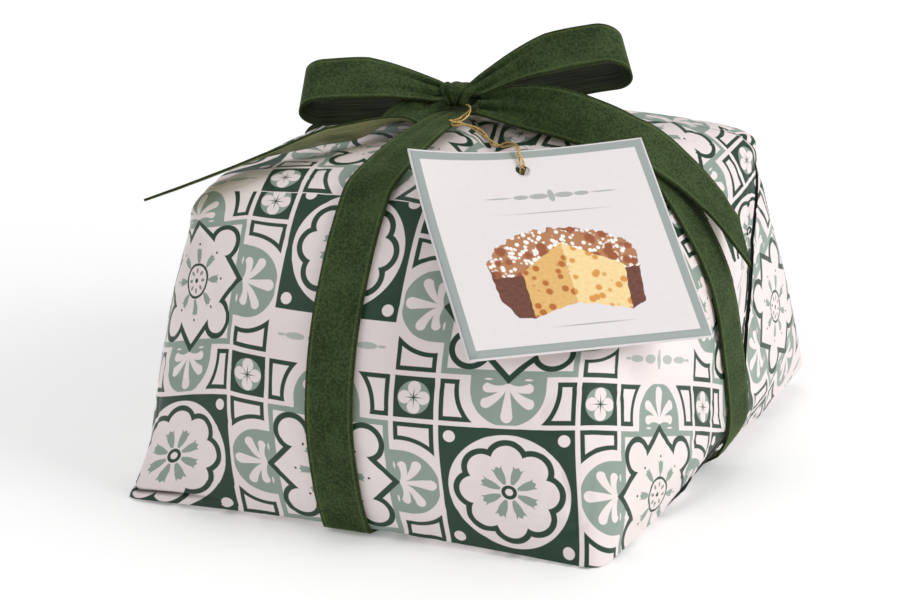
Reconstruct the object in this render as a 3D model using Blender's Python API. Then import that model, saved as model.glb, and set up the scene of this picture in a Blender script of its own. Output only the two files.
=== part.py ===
"""Festive cake in its gift wrap: a paper parcel, cross-tied with a velvet ribbon and bow, with a card tag.

Units are metres, +Z is up and the parcel stands on Z = 0. Its front faces -Y and its right side +X.
The parcel is a soft four-sided block: level rings of named half sizes are joined into one skin, with the
envelope folds of the paper stepped into its left and right sides.
"""
from collections import namedtuple
from math import cos, pi, sin

import bmesh
import bpy
from mathutils import Matrix, Vector

MM = 0.001

# The parcel, in millimetres: corner distances from the middle, swell of the sides and roundness of the
# corners, as a share of a side. A crown is how much higher the middle of a side lies than its corners.
Ring = namedtuple("Ring", "height left right front back swell_front swell_side swell_back round "
                          "crown_front crown_side crown_back")
RINGS = (
    Ring(0.6, 119, 123, 136, 131, 1, 2, 1, 0.04, 3.2, 3.2, 3.2),
    Ring(25, 112, 122, 131, 126, 13, 11, 10, 0.07, 0, 0, 0),
    Ring(60, 107, 121, 128, 118, 20, 10, 13, 0.10, 0, 0, 0),
    Ring(95, 102, 115, 122, 110, 19, 10, 13, 0.11, 0, 0, 0),
    Ring(125, 98, 108, 115, 104, 12, 3, 9, 0.12, 0, -2, 0),
    Ring(142, 95, 106, 113, 106, -1, -6, -3, 0.12, 4.5, -4, -2),
    Ring(152, 84, 82, 91, 79, 5, 0, 2, 0.19, 5, 1, 1),
    Ring(158, 40, 42, 46, 40, 6, 4, 4, 0.30, 5, 3, 4),
    Ring(164, 0.5, 0.5, 0.5, 0.5, 0, 0, 0, 0.32, 0, 0, 0),
)
FRONT_SKEW = 17           # the front left corner stands this much further forward than the front right one
BACK_CORNER_LIFT = 14     # the back right ear of paper is off the floor by this much
NEAR_CORNER_SLUMP = 20    # the top of the front right corner has sunk by this much
NEAR_CORNER_PINCH = 12    # and is pushed in by this much
SOLE_HEIGHT = 1.6         # the underside rests on the crossed ribbon
SOLE_INSET = 14           # the paper rolls under this far before it lies flat
FOLD_STEP = 1.4           # the folded ears of paper stand this much proud of the panel between them
# Where the edges of the two ears run, as shares of the way along a side, for each ring.
EAR_EDGES = ((0.39, 0.54), (0.43, 0.55), (0.445, 0.58), (0.42, 0.68), (0.36, 0.80), (0.25, 0.91),
             (0.22, 0.93), (0.2, 0.94), (0.2, 0.94))
SIDE_COLUMNS = 22
ROWS_PER_RING = 3

# The ribbon.
RIBBON_WIDTH = 23.5 * MM
RIBBON_THICK = 1.2 * MM
GAP = 0.5 * MM
BAND_CROSSING = Vector((1, 2, 0)) * MM     # where the bands cross under the parcel
BAND_PAD = Vector((-4, -8, 168.3)) * MM    # where they meet again under the knot
BAND_PAD_WIDTH = 11 * MM
LEG_ROWS = 24
LIFT_OFF_LEVEL = 5.67                      # above this ring the legs rise off the paper to the pad,
LIFT_ARCH = 3 * MM                         # bowed upwards by this much on the way,
SLACK = 1.4 * MM                           # and this much looser on the top of the parcel
KNOT_CENTRE = Vector((-4, -8, 176)) * MM
KNOT_SIZE = Vector((16, 15, 13)) * MM

# The bow: each loop runs out from the knot along its reach, turns down and comes back below. The rise is
# the direction from the lower run to the upper one, across is the ribbon's width direction, and the arch
# lifts the middle of the loop.
Loop = namedtuple("Loop", "reach rise across length gap arch")
LEFT_LOOP = Loop(Vector((-0.95, -0.31, -0.01)), Vector((0.30, -0.60, 0.74)), Vector((-0.22, 0.70, 0.68)),
                 66 * MM, 21 * MM, 2 * MM)
RIGHT_LOOP = Loop(Vector((0.94, 0.24, 0.26)), Vector((0.02, -0.60, 0.76)), Vector((-0.50, 0.62, 0.60)),
                  71 * MM, 20 * MM, 2.5 * MM)
LOOP_ROOT_WIDTH = 13 * MM
LOOP_ROOT_GAP = 7 * MM
LOOP_STEPS = 30

# The tails: points on the middle line, the width direction there and the width, in millimetres. They
# leave the knot gathered, and the left one turns edge up where it passes over the front of the parcel.
LEFT_TAIL = (
    ((-16.5, -14.5, 172.8), (0.60, -0.60, -0.53), 12),
    ((-19.0, -21.5, 171.2), (0.64, -0.67, -0.32), 17),
    ((-21.8, -30.3, 169.2), (0.59, -0.81, -0.01), 22),
    ((-25.6, -41.1, 168.0), (0.46, -0.84, 0.31), 23.5),
    ((-33.1, -52.8, 166.7), (0.38, -0.77, 0.51), 23.5),
    ((-41.1, -62.2, 166.0), (0.38, -0.77, 0.51), 23.5),
    ((-47.2, -69.4, 165.2), (0.39, -0.80, 0.46), 23.5),
    ((-60.8, -89.5, 161.0), (0.43, -0.83, 0.36), 23.5),
    ((-70.3, -101.5, 157.6), (0.45, -0.83, 0.32), 23.5),
    ((-84.6, -114.2, 152.0), (0.45, -0.83, 0.32), 23.5),
    ((-97.6, -123.0, 146.8), (0.45, -0.83, 0.32), 23.5),
    ((-104.6, -127.6, 144.2), (0.45, -0.83, 0.33), 23.5),
)
RIGHT_TAIL = (
    ((8.5, -11.5, 173.4), (0.33, -0.67, -0.67), 12),
    ((20.5, -11.5, 174.1), (0.17, -0.53, -0.83), 17),
    ((36.9, -12.8, 174.2), (0.02, -0.43, -0.90), 22),
    ((51.8, -14.5, 173.5), (-0.11, -0.40, -0.91), 23.5),
    ((68.5, -14.3, 169.9), (-0.09, -0.56, -0.82), 23.5),
    ((85.7, -10.0, 164.2), (0.06, -0.83, -0.56), 23.5),
    ((94.3, -1.0, 156.8), (0.00, -0.92, -0.40), 23.5),
    ((104.2, 9.5, 144.5), (0.01, -0.97, -0.25), 23.5),
    ((114.2, 15.9, 132.0), (0.02, -0.99, -0.15), 23.5),
    ((121.2, 17.7, 123.4), (0.04, -1.00, -0.05), 23.5),
    ((129.1, 18.3, 113.3), (0.07, -1.00, 0.00), 23.5),
    ((137.1, 19.8, 102.5), (0.08, -1.00, 0.00), 23.5),
)
LEFT_CUT = 12 * MM         # the slanted end of a tail is this much longer on one edge
RIGHT_CUT = 20 * MM
TAIL_STEPS = 26

# The tag and its cord.
TAG_CORNER = Vector((19.2, -103.8, 172.0)) * MM    # its top left corner
TAG_ALONG = Vector((76.1, 84.7, -5.4)) * MM        # from there to the top right corner
TAG_DOWN = Vector((59.6, -58.0, -69.9)) * MM       # and to the bottom left corner
TAG_THICK = 0.8 * MM
TAG_HOLE = (0.465, 0.105)                          # place of the hole along and down the card
TAG_HOLE_RADIUS = 3.2 * MM
TAG_CURL = 4.5 * MM                                # the top left corner curls up by this much
TAG_SAG = 3.5 * MM                                 # and the middle of the top edge sags by this much
TAG_CELLS = 12
CORD_DIAMETER = 1.3 * MM
CORD_POINTS = 30
# The cord's way from the knot's foot to the tag, in millimetres; it goes on into the hole.
CORD_ROUTE = (
    (2.0, -17.0, 171.6), (6.9, -19.5, 171.3), (8.5, -25.3, 170.0), (9.4, -31.6, 168.8), (14.7, -35.6, 168.2),
    (21.4, -38.5, 168.1), (27.6, -42.5, 166.6), (33.0, -47.1, 165.1), (39.0, -50.7, 164.9),
    (45.0, -54.5, 167.5),
)

FRONT, RIGHT, BACK, LEFT = range(4)
OUTWARD = (Vector((0, -1)), Vector((1, 0)), Vector((0, 1)), Vector((-1, 0)))


def clear_scene():
    for item in list(bpy.data.objects):
        bpy.data.objects.remove(item, do_unlink=True)


def material(name, colour, roughness, metallic=0.0):
    """A plain Principled material."""
    made = bpy.data.materials.new(name)
    made.use_nodes = True
    shader = made.node_tree.nodes["Principled BSDF"]
    shader.inputs["Base Color"].default_value = (*colour, 1.0)
    shader.inputs["Roughness"].default_value = roughness
    shader.inputs["Metallic"].default_value = metallic
    return made


def add_object(name, mesh_builder, finish):
    """Makes an object of a bmesh, with its material."""
    mesh = bpy.data.meshes.new(name)
    mesh_builder.to_mesh(mesh)
    mesh_builder.free()
    mesh.materials.append(finish)
    made = bpy.data.objects.new(name, mesh)
    bpy.context.scene.collection.objects.link(made)
    return made


def spline(before, start, end, after, u):
    """A Catmull-Rom value between start and end; works on numbers and on vectors."""
    return 0.5 * (2 * start + (end - before) * u + (2 * before - 5 * start + 4 * end - after) * u * u
                  + (3 * start - before - 3 * end + after) * u ** 3)


def spline_through(stops, place):
    """The value at a place from 0 to 1 on a smooth curve through the stops."""
    last = len(stops) - 1
    index = min(int(place * last), last - 1)
    around = [stops[max(0, min(last, index + step))] for step in (-1, 0, 1, 2)]
    return spline(*around, place * last - index)


def ring_at(level):
    """The parcel's ring at a level, counted in rings from the bottom one."""
    place = level / (len(RINGS) - 1)
    return Ring(*(spline_through([ring[field] for ring in RINGS], place) for field in range(len(Ring._fields))))


def ring_corners(ring):
    """The four corners of a ring, from the front left one round past the front right one."""
    skew = FRONT_SKEW / 2 * ring.front / RINGS[0].front
    return (Vector((-ring.left, -ring.front - skew)), Vector((ring.right, -ring.front + skew)),
            Vector((ring.right, ring.back)), Vector((-ring.left, ring.back)))


def side_point(ring, side, along):
    """A point on one swollen side of a ring, and its slope along the side, both as (x, y)."""
    corners = ring_corners(ring)
    start, end = corners[side], corners[(side + 1) % 4]
    swell = (ring.swell_front, ring.swell_side, ring.swell_back, ring.swell_side)[side]
    point = start.lerp(end, along) + OUTWARD[side] * swell * 4 * along * (1 - along)
    slope = end - start + OUTWARD[side] * swell * 4 * (1 - 2 * along)
    return point, slope


def rounded_point(ring, side, along):
    """A point on a ring with its corners rounded by quadratic curves."""
    reach = ring.round
    if reach <= along <= 1 - reach:
        return side_point(ring, side, along)[0]
    if along < reach:
        first, u = (side - 1) % 4, 0.5 + along / (2 * reach)
    else:
        first, u = side, 0.5 - (1 - along) / (2 * reach)
    arrive, arrive_slope = side_point(ring, first, 1 - reach)
    leave, leave_slope = side_point(ring, (first + 1) % 4, reach)
    control = (arrive + arrive_slope * reach + leave - leave_slope * reach) / 2
    return arrive * (1 - u) ** 2 + control * 2 * u * (1 - u) + leave * u * u


def corner_shift(ring, side, along):
    """How far a point moves: the back right ear is lifted, the front right corner sunk and pushed in."""
    near_base = max(0.0, 1 - ring.height / 60)
    to_back_right = 1 - along if side == RIGHT else along if side == BACK else 9
    lift = BACK_CORNER_LIFT * near_base * max(0.0, 1 - to_back_right / 0.42)
    near_top = max(0.0, min(1.0, (ring.height - 90) / 45)) * min(1.0, ring.front / 80)
    from_near = along if side == RIGHT else 1 - along if side == FRONT else 9
    sunk = near_top * max(0.0, 1 - from_near / 0.45) ** 2
    pinch = NEAR_CORNER_PINCH * sunk
    return Vector((-pinch, pinch, lift - NEAR_CORNER_SLUMP * sunk))


def parcel_point(side, along, level, recess=0.0):
    """A point of the parcel's skin, in metres."""
    ring = ring_at(level)
    flat = rounded_point(ring, side, along) - OUTWARD[side] * recess
    crown = (ring.crown_front, ring.crown_side, ring.crown_back, ring.crown_side)[side]
    height = ring.height + crown * 4 * along * (1 - along)
    return (Vector((flat.x, flat.y, height)) + corner_shift(ring, side, along)) * MM


def side_columns(side, level):
    """Places along a side where the mesh has its columns, each with whether it lies in the recess."""
    if side in (FRONT, BACK):
        return [(0.5 - 0.5 * cos(pi * index / SIDE_COLUMNS), False) for index in range(SIDE_COLUMNS)]
    place = level / (len(RINGS) - 1)
    near, far = (spline_through([edges[which] for edges in EAR_EDGES], place) for which in (0, 1))
    first, last = (near, far) if side == RIGHT else (1 - far, 1 - near)
    ear, panel = 7, 8
    columns = [(first * (0.5 - 0.5 * cos(pi * index / 2 / ear)) * 2, False) for index in range(ear + 1)]
    columns += [(first + 0.004 + (last - first - 0.008) * index / panel, True) for index in range(panel + 1)]
    columns += [(last + (1 - last) * sin(pi * index / 2 / ear), False) for index in range(ear)]
    return columns


def build_parcel(finish):
    """The wrapped cake: rings bridged into a skin, closed by a flat sole."""
    made = bmesh.new()
    rows = (len(RINGS) - 1) * ROWS_PER_RING
    loops = []
    for row in range(rows):
        level = row / ROWS_PER_RING
        step = FOLD_STEP * max(0.0, min(1.0, (5 - level) / 2))
        ring = []
        for side in range(4):
            for place, inside in side_columns(side, level):
                ring.append(made.verts.new(parcel_point(side, place, level, step if inside else 0.0)))
        loops.append([made.edges.new((ring[index - 1], ring[index])) for index in range(len(ring))])
    for lower, upper in zip(loops, loops[1:]):
        bmesh.ops.bridge_loops(made, edges=lower + upper)
    bmesh.ops.contextual_create(made, geom=loops[-1])
    sole = bmesh.ops.extrude_edge_only(made, edges=loops[0])["geom"]
    for vert in (item for item in sole if isinstance(item, bmesh.types.BMVert)):
        inset = SOLE_INSET * MM + 2.4 * max(0.0, vert.co.z - RINGS[0].height * MM)
        flat = Vector((vert.co.x, vert.co.y, 0))
        flat -= flat.normalized() * inset
        vert.co = Vector((flat.x, flat.y, SOLE_HEIGHT * MM))
    bmesh.ops.contextual_create(made, geom=[item for item in sole if isinstance(item, bmesh.types.BMEdge)])
    bmesh.ops.recalc_face_normals(made, faces=made.faces)
    bmesh.ops.triangulate(made, faces=made.faces)
    parcel = add_object("wrapped_parcel", made, finish)
    parcel.data.shade_smooth()
    return parcel


def sheet_grid(made, rows):
    """A strip of faces through rows of points, all of the same length."""
    across = len(rows[0])
    grid = [[made.verts.new(point) for point in row] for row in rows]
    edges = [[made.edges.new((row[index], row[index + 1])) for index in range(across - 1)] for row in grid]
    for lower, upper in zip(edges, edges[1:]):
        for first, second in zip(lower, upper):
            bmesh.ops.contextual_create(made, geom=[first, second])


def thicken(sheet, thickness):
    """Gives a sheet its thickness, evenly to both sides."""
    solid = sheet.modifiers.new("thickness", "SOLIDIFY")
    solid.thickness = thickness
    solid.offset = 0.0
    solid.use_even_offset = False


def skin_normal(side, along, level):
    """The outward direction of the parcel's skin."""
    step = 0.02
    across = parcel_point(side, along + step, level) - parcel_point(side, along - step, level)
    upward = parcel_point(side, along, level + step) - parcel_point(side, along, max(0.0, level - step))
    return across.cross(upward).normalized()


def leg_rows(side):
    """Rows of a ribbon leg on one side, from under the parcel's middle up to the pad under the knot."""
    outward = Vector((*OUTWARD[side], 0))
    across = Vector((-outward.y, outward.x, 0))
    axis = 0 if side in (FRONT, BACK) else 1

    def along(level):
        start, end = (ring_corners(ring_at(level))[(side + step) % 4][axis] for step in (0, 1))
        return (BAND_CROSSING[axis] / MM - start) / (end - start)

    def row(middle, direction, width):
        return [middle + direction.normalized() * width * place for place in (-0.5, 0, 0.5)]

    edge = parcel_point(side, along(0), 0)
    edge_reach = (edge - BAND_CROSSING).dot(outward)
    rows = []
    for reach in (RIBBON_WIDTH / 2, 0.35 * edge_reach, 0.6 * edge_reach, edge_reach - SOLE_INSET * MM):
        middle = BAND_CROSSING + outward * reach + Vector((0, 0, RIBBON_THICK / 2))
        rows.append(row(middle, across, RIBBON_WIDTH))
    pad_edge = BAND_PAD + outward * BAND_PAD_WIDTH / 2
    for index in range(LEG_ROWS):
        level = index / ROWS_PER_RING
        rise = max(0.0, (level - LIFT_OFF_LEVEL) / ((LEG_ROWS - 1) / ROWS_PER_RING - LIFT_OFF_LEVEL)) ** 1.5
        place = along(level)
        off = skin_normal(side, place, level)
        if index == 0:
            off = (off + Vector((0, 0, -1))) / 1.6
        loose = SLACK * max(0.0, min(1.0, level - LIFT_OFF_LEVEL + 1))
        middle = parcel_point(side, place, level) + off * (GAP + loose + RIBBON_THICK / 2)
        middle.z += LIFT_ARCH * 4 * rise * (1 - rise)
        tangent = parcel_point(side, place + 0.02, level) - parcel_point(side, place - 0.02, level)
        direction = tangent.normalized().lerp(across, min(1, 2 * rise))
        width = RIBBON_WIDTH + (BAND_PAD_WIDTH - RIBBON_WIDTH) * rise
        rows.append(row(middle.lerp(pad_edge, rise), direction, width))
    return rows


def square_patch(made, centre, width):
    """Four faces that fill the square where the legs meet."""
    half = width / 2
    rows = [[centre + Vector((x * half, y * half, 0)) for x in (-1, 0, 1)] for y in (-1, 0, 1)]
    sheet_grid(made, rows)


def build_bands(finish):
    """The ribbon that crosses under the parcel and climbs its four sides to the knot."""
    made = bmesh.new()
    for side in range(4):
        sheet_grid(made, leg_rows(side))
    square_patch(made, BAND_CROSSING + Vector((0, 0, RIBBON_THICK / 2)), RIBBON_WIDTH)
    square_patch(made, BAND_PAD, BAND_PAD_WIDTH)
    bmesh.ops.remove_doubles(made, verts=made.verts, dist=0.05 * MM)
    bmesh.ops.recalc_face_normals(made, faces=made.faces)
    bands = add_object("ribbon_bands", made, finish)
    thicken(bands, RIBBON_THICK)
    bands.data.shade_smooth()
    return bands


def build_knot(finish):
    """The knot: a block softened by subdivision, with a waist where the ribbon wraps round it."""
    made = bmesh.new()
    bmesh.ops.create_cube(made, size=1.0)
    bmesh.ops.subdivide_edges(made, edges=made.edges, cuts=3, use_grid_fill=True)
    for vert in made.verts:
        waist = 1 - 0.10 * cos(pi * vert.co.x) ** 2
        vert.co = Vector((vert.co.x, vert.co.y * waist, vert.co.z * waist))
        vert.co = Vector([part * size for part, size in zip(vert.co, KNOT_SIZE)]) + KNOT_CENTRE
    knot = add_object("bow_knot", made, finish)
    soft = knot.modifiers.new("softening", "SUBSURF")
    soft.levels = 1
    soft.render_levels = 1
    knot.data.shade_smooth()
    return knot


def loop_rows(loop):
    """Rows of points across a bow loop: the upper run, the round end and the lower run."""
    reach, across = loop.reach.normalized(), loop.across.normalized()
    up = (loop.rise - reach * loop.rise.dot(reach)).normalized()
    root = KNOT_CENTRE + reach * (KNOT_SIZE.x / 2 + 1.2 * MM + abs(across.x) * LOOP_ROOT_WIDTH / 2)
    radius = loop.gap / 2
    run = loop.length - radius
    total = 2 * run + pi * radius
    rows = []
    for step in range(LOOP_STEPS + 1):
        travelled = total * step / LOOP_STEPS
        to_root = min(travelled, total - travelled)
        if to_root < run:
            out = to_root
            opening = sin(pi / 2 * min(1.0, to_root / run / 0.75))
            height = LOOP_ROOT_GAP / 2 + (radius - LOOP_ROOT_GAP / 2) * opening
            height = height if travelled < run else -height
        else:
            turn = (travelled - run) / radius
            out, height = run + radius * sin(turn), radius * cos(turn)
        width = LOOP_ROOT_WIDTH + (RIBBON_WIDTH - LOOP_ROOT_WIDTH) * min(1.0, out / run / 0.6)
        middle = root + reach * out + up * height + Vector((0, 0, loop.arch * sin(pi * out / loop.length)))
        rows.append([middle + across * width * place for place in (-0.5, -0.17, 0.17, 0.5)])
    return rows


def build_loop(name, loop, finish):
    """One loop of the bow: a ribbon that leaves the knot, turns and comes back."""
    made = bmesh.new()
    sheet_grid(made, loop_rows(loop))
    bow = add_object(name, made, finish)
    thicken(bow, RIBBON_THICK)
    bow.data.shade_smooth()
    return bow


def build_tail(name, stops, cut, finish):
    """A free end of the ribbon, twisting along its way and cut at a slant."""
    points = [Vector(stop[0]) * MM for stop in stops]
    across = [Vector(stop[1]).normalized() for stop in stops]
    widths = [stop[2] * MM for stop in stops]
    made = bmesh.new()
    rows = []
    for step in range(TAIL_STEPS + 1):
        place = step / TAIL_STEPS
        middle = spline_through(points, place)
        ahead = spline_through(points, min(1.0, place + 0.02)) - spline_through(points, max(0.0, place - 0.02))
        ahead.normalize()
        side = spline_through(across, place)
        side = (side - ahead * side.dot(ahead)).normalized()
        width = spline_through(widths, place)
        slant = cut * max(0.0, place - 0.6) / 0.4
        row = []
        for spot in (-1, -0.33, 0.33, 1):
            row.append(middle + side * width / 2 * spot + ahead * slant / 2 * (spot - 1))
        rows.append(row)
    sheet_grid(made, rows)
    tail = add_object(name, made, finish)
    thicken(tail, RIBBON_THICK)
    tail.data.shade_smooth()
    return tail


def tag_normal():
    """The direction that the face of the tag looks in."""
    return TAG_DOWN.cross(TAG_ALONG).normalized()


def tag_point(along, down):
    """A point on the middle of the card, with the curl of its corner and the sag of its top edge."""
    curl = TAG_CURL * (max(0.0, 1 - along / 0.45) * max(0.0, 1 - down / 0.45)) ** 2
    sag = TAG_SAG * sin(pi * along) * (1 - down) ** 3
    return TAG_CORNER + TAG_ALONG * along + TAG_DOWN * down + tag_normal() * (curl - sag)


def build_tag(finish):
    """The card tag, with a hole for its cord."""
    made = bmesh.new()
    places = [index / TAG_CELLS for index in range(TAG_CELLS + 1)]
    sheet_grid(made, [[tag_point(along, down) for along in places] for down in places])
    tag = add_object("gift_tag", made, finish)
    thicken(tag, TAG_THICK)
    hole = bmesh.new()
    bmesh.ops.create_cone(hole, cap_ends=True, segments=20, radius1=TAG_HOLE_RADIUS,
                          radius2=TAG_HOLE_RADIUS, depth=12 * MM)
    turn = tag_normal().to_track_quat("Z", "Y").to_matrix().to_4x4()
    bmesh.ops.transform(hole, matrix=Matrix.Translation(tag_point(*TAG_HOLE)) @ turn, verts=hole.verts)
    punch = add_object("hole_punch", hole, finish)
    punch.hide_render = True
    punch.display_type = "WIRE"
    cut = tag.modifiers.new("hole", "BOOLEAN")
    cut.operation = "DIFFERENCE"
    cut.object = punch
    return tag


def build_cord(finish):
    """The metallic cord from the knot's foot into the tag's hole, as a plain tube."""
    hole = tag_point(*TAG_HOLE)
    uphill = -TAG_DOWN.normalized()
    stops = [Vector(stop) * MM for stop in CORD_ROUTE]
    for climb, stand_off in ((11.5, 2.4), (6, 2.0), (1, 1.6), (0, -4)):
        stops.append(hole + (uphill * climb + tag_normal() * stand_off) * MM)
    curve = bpy.data.curves.new("tag_cord", "CURVE")
    curve.dimensions = "3D"
    curve.bevel_depth = CORD_DIAMETER / 2
    curve.bevel_resolution = 2
    curve.use_fill_caps = True
    line = curve.splines.new("POLY")
    line.points.add(CORD_POINTS - 1)
    for index, point in enumerate(line.points):
        point.co = (*spline_through(stops, index / (CORD_POINTS - 1)), 1.0)
    curve.materials.append(finish)
    cord = bpy.data.objects.new("tag_cord", curve)
    bpy.context.scene.collection.objects.link(cord)
    return cord


def main():
    clear_scene()
    paper = material("printed_paper", (0.62, 0.66, 0.62), 0.45)
    velvet = material("green_velvet", (0.045, 0.10, 0.03), 0.9)
    card = material("tag_card", (0.84, 0.80, 0.79), 0.5)
    gold = material("gold_cord", (0.72, 0.50, 0.16), 0.35, 0.9)
    build_parcel(paper)
    build_bands(velvet)
    build_knot(velvet)
    build_loop("bow_loop_left", LEFT_LOOP, velvet)
    build_loop("bow_loop_right", RIGHT_LOOP, velvet)
    build_tail("ribbon_tail_left", LEFT_TAIL, LEFT_CUT, velvet)
    build_tail("ribbon_tail_right", RIGHT_TAIL, RIGHT_CUT, velvet)
    build_tag(card)
    build_cord(gold)


main()
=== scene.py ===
"""Gift-wrapped festive cake: printed paper, a velvet ribbon with a bow, and a card tag on a cord."""

from collections import namedtuple
from functools import reduce
from math import cos, exp, hypot, pi, radians, sin

import bmesh
import bpy
from mathutils import Matrix, Vector, noise


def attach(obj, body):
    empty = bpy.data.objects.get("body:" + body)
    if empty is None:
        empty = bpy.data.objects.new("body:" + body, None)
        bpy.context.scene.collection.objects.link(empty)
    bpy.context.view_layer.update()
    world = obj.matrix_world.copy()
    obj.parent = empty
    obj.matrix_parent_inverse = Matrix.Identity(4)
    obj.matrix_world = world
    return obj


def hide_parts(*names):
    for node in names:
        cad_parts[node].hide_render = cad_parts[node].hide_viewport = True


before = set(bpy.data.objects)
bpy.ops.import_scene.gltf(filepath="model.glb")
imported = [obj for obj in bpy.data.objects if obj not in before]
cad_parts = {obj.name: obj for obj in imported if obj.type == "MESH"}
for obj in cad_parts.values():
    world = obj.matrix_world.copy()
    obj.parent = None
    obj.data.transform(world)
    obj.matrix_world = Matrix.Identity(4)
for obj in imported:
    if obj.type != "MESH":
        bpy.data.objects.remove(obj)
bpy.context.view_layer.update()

MM = 0.001
ROOT = "root"

# The camera stands where the photographer's stood: half a step to the right of the front, a little above it.
CAMERA_AZIMUTH, CAMERA_ELEVATION, CAMERA_ROLL = radians(28.6), radians(18.0), radians(-1.8)
CAMERA_DISTANCE = 1.235
CAMERA_AIM = Vector((0, 0, 0.06))
CAMERA_SHIFT_RIGHT, CAMERA_SHIFT_UP = -0.0154, 0.0103
CAMERA_LENS = 100

to_camera = Vector((sin(CAMERA_AZIMUTH) * cos(CAMERA_ELEVATION),
                    -cos(CAMERA_AZIMUTH) * cos(CAMERA_ELEVATION), sin(CAMERA_ELEVATION)))
level_right = Vector((cos(CAMERA_AZIMUTH), sin(CAMERA_AZIMUTH), 0))
level_up = to_camera.cross(level_right)
right = level_right * cos(CAMERA_ROLL) + level_up * sin(CAMERA_ROLL)
up = level_up * cos(CAMERA_ROLL) - level_right * sin(CAMERA_ROLL)
camera = bpy.data.objects.new("camera", bpy.data.cameras.new("camera"))
camera.data.lens = CAMERA_LENS
camera.data.clip_start = 0.01
place = CAMERA_AIM + right * CAMERA_SHIFT_RIGHT + up * CAMERA_SHIFT_UP + to_camera * CAMERA_DISTANCE
camera.matrix_world = Matrix.Translation(place) @ Matrix((right, up, to_camera)).transposed().to_4x4()
bpy.context.scene.collection.objects.link(camera)
bpy.context.scene.camera = camera


# The tag's cord: two strands of metallic yarn, loosely twisted. It comes out from under the knot, makes a
# small bight and goes down to the hole of the card.
CORD_STEPS = 560
STRAND_SIDES = 8
STRAND_RADIUS, STRAND_OFFSET = 0.45 * MM, 0.78 * MM
CORD_TWIST = 27 * MM          # the length of one turn of the two strands
YARN_BEAD, BEAD_SWELL = 1.25 * MM, 0.28       # the yarn's own twist shows as beads: their length and swell
STRAND_END = 0.02             # how narrow the strands are at their ends
CORD_ASIDE = Vector((0.3, 0.2, 1))            # the cord never runs in this direction
# The route's points, in millimetres, and the last ones over the card: how far up the card from the hole,
# and how far in front of it.
CORD_ROUTE = (
    (4.0, -14.5, 172.8), (7.2, -19.0, 172.2), (8.6, -25.0, 171.0), (8.4, -31.5, 170.2),
    (6.2, -35.6, 170.4), (8.6, -38.8, 170.0), (14.0, -37.4, 169.8), (21.4, -38.5, 168.1),
    (27.6, -42.5, 166.6), (33.0, -47.1, 165.1), (39.0, -50.7, 164.9), (45.0, -54.5, 167.5),
)
CORD_AT_HOLE = ((11.5, 2.4), (6, 2.0), (1, 1.6), (0, -4))
TAG_CORNER = Vector((19.2, -103.8, 172.0)) * MM
TAG_ALONG = Vector((76.1, 84.7, -5.4)) * MM
TAG_DOWN = Vector((59.6, -58.0, -69.9)) * MM
TAG_NORMAL = TAG_DOWN.cross(TAG_ALONG).normalized()
TAG_HOLE = (0.465, 0.105)
TAG_HOLE_RADIUS = 3.2 * MM
TAG_THICK = 0.8 * MM
TAG_CURL, CURL_REACH = 4.5 * MM, 0.45
TAG_SAG = 3.5 * MM


def fade(distance, reach=1.0):
    """1 at a distance of 0, falling evenly to 0 at the reach."""
    return max(0.0, 1 - distance / reach)


def tag_point(along, down):
    """A point on the middle of the card, with the curl of its corner and the sag of its top edge."""
    curl = TAG_CURL * (fade(along, CURL_REACH) * fade(down, CURL_REACH)) ** 2
    sag = TAG_SAG * sin(pi * along) * (1 - down) ** 3
    return TAG_CORNER + TAG_ALONG * along + TAG_DOWN * down + TAG_NORMAL * (curl - sag)


def spline(before, start, end, after, u):
    """A Catmull-Rom value between start and end; works on numbers and on vectors."""
    return 0.5 * (2 * start + (end - before) * u + (2 * before - 5 * start + 4 * end - after) * u * u
                  + (3 * start - before - 3 * end + after) * u ** 3)


def spline_through(stops, place):
    """The value at a place from 0 to 1 on a smooth curve through the stops."""
    last = len(stops) - 1
    index = min(int(place * last), last - 1)
    around = [stops[max(0, min(last, index + step))] for step in (-1, 0, 1, 2)]
    return spline(*around, place * last - index)


def math_node(operation):
    return lambda value, *others: value.math(operation, *others)


class Socket:
    """A value in a material's nodes; sums, products and the like of it add Math nodes."""

    def __init__(self, finish, socket):
        self.finish = finish
        self.socket = socket

    def math(self, operation, *others):
        return self.finish.node("Math", {"operation": operation}, dict(enumerate((self, *others))))

    def __rsub__(self, other):
        return self.finish.node("Math", {"operation": "SUBTRACT"}, {0: other, 1: self})

    __add__ = __radd__ = math_node("ADD")
    __sub__ = math_node("SUBTRACT")
    __mul__ = __rmul__ = math_node("MULTIPLY")
    __truediv__ = math_node("DIVIDE")
    __mod__ = math_node("FLOORED_MODULO")
    __gt__ = math_node("GREATER_THAN")
    __lt__ = math_node("LESS_THAN")
    __abs__ = math_node("ABSOLUTE")
    least = math_node("MINIMUM")
    most = math_node("MAXIMUM")
    sine = math_node("SINE")
    cosine = math_node("COSINE")


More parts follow.
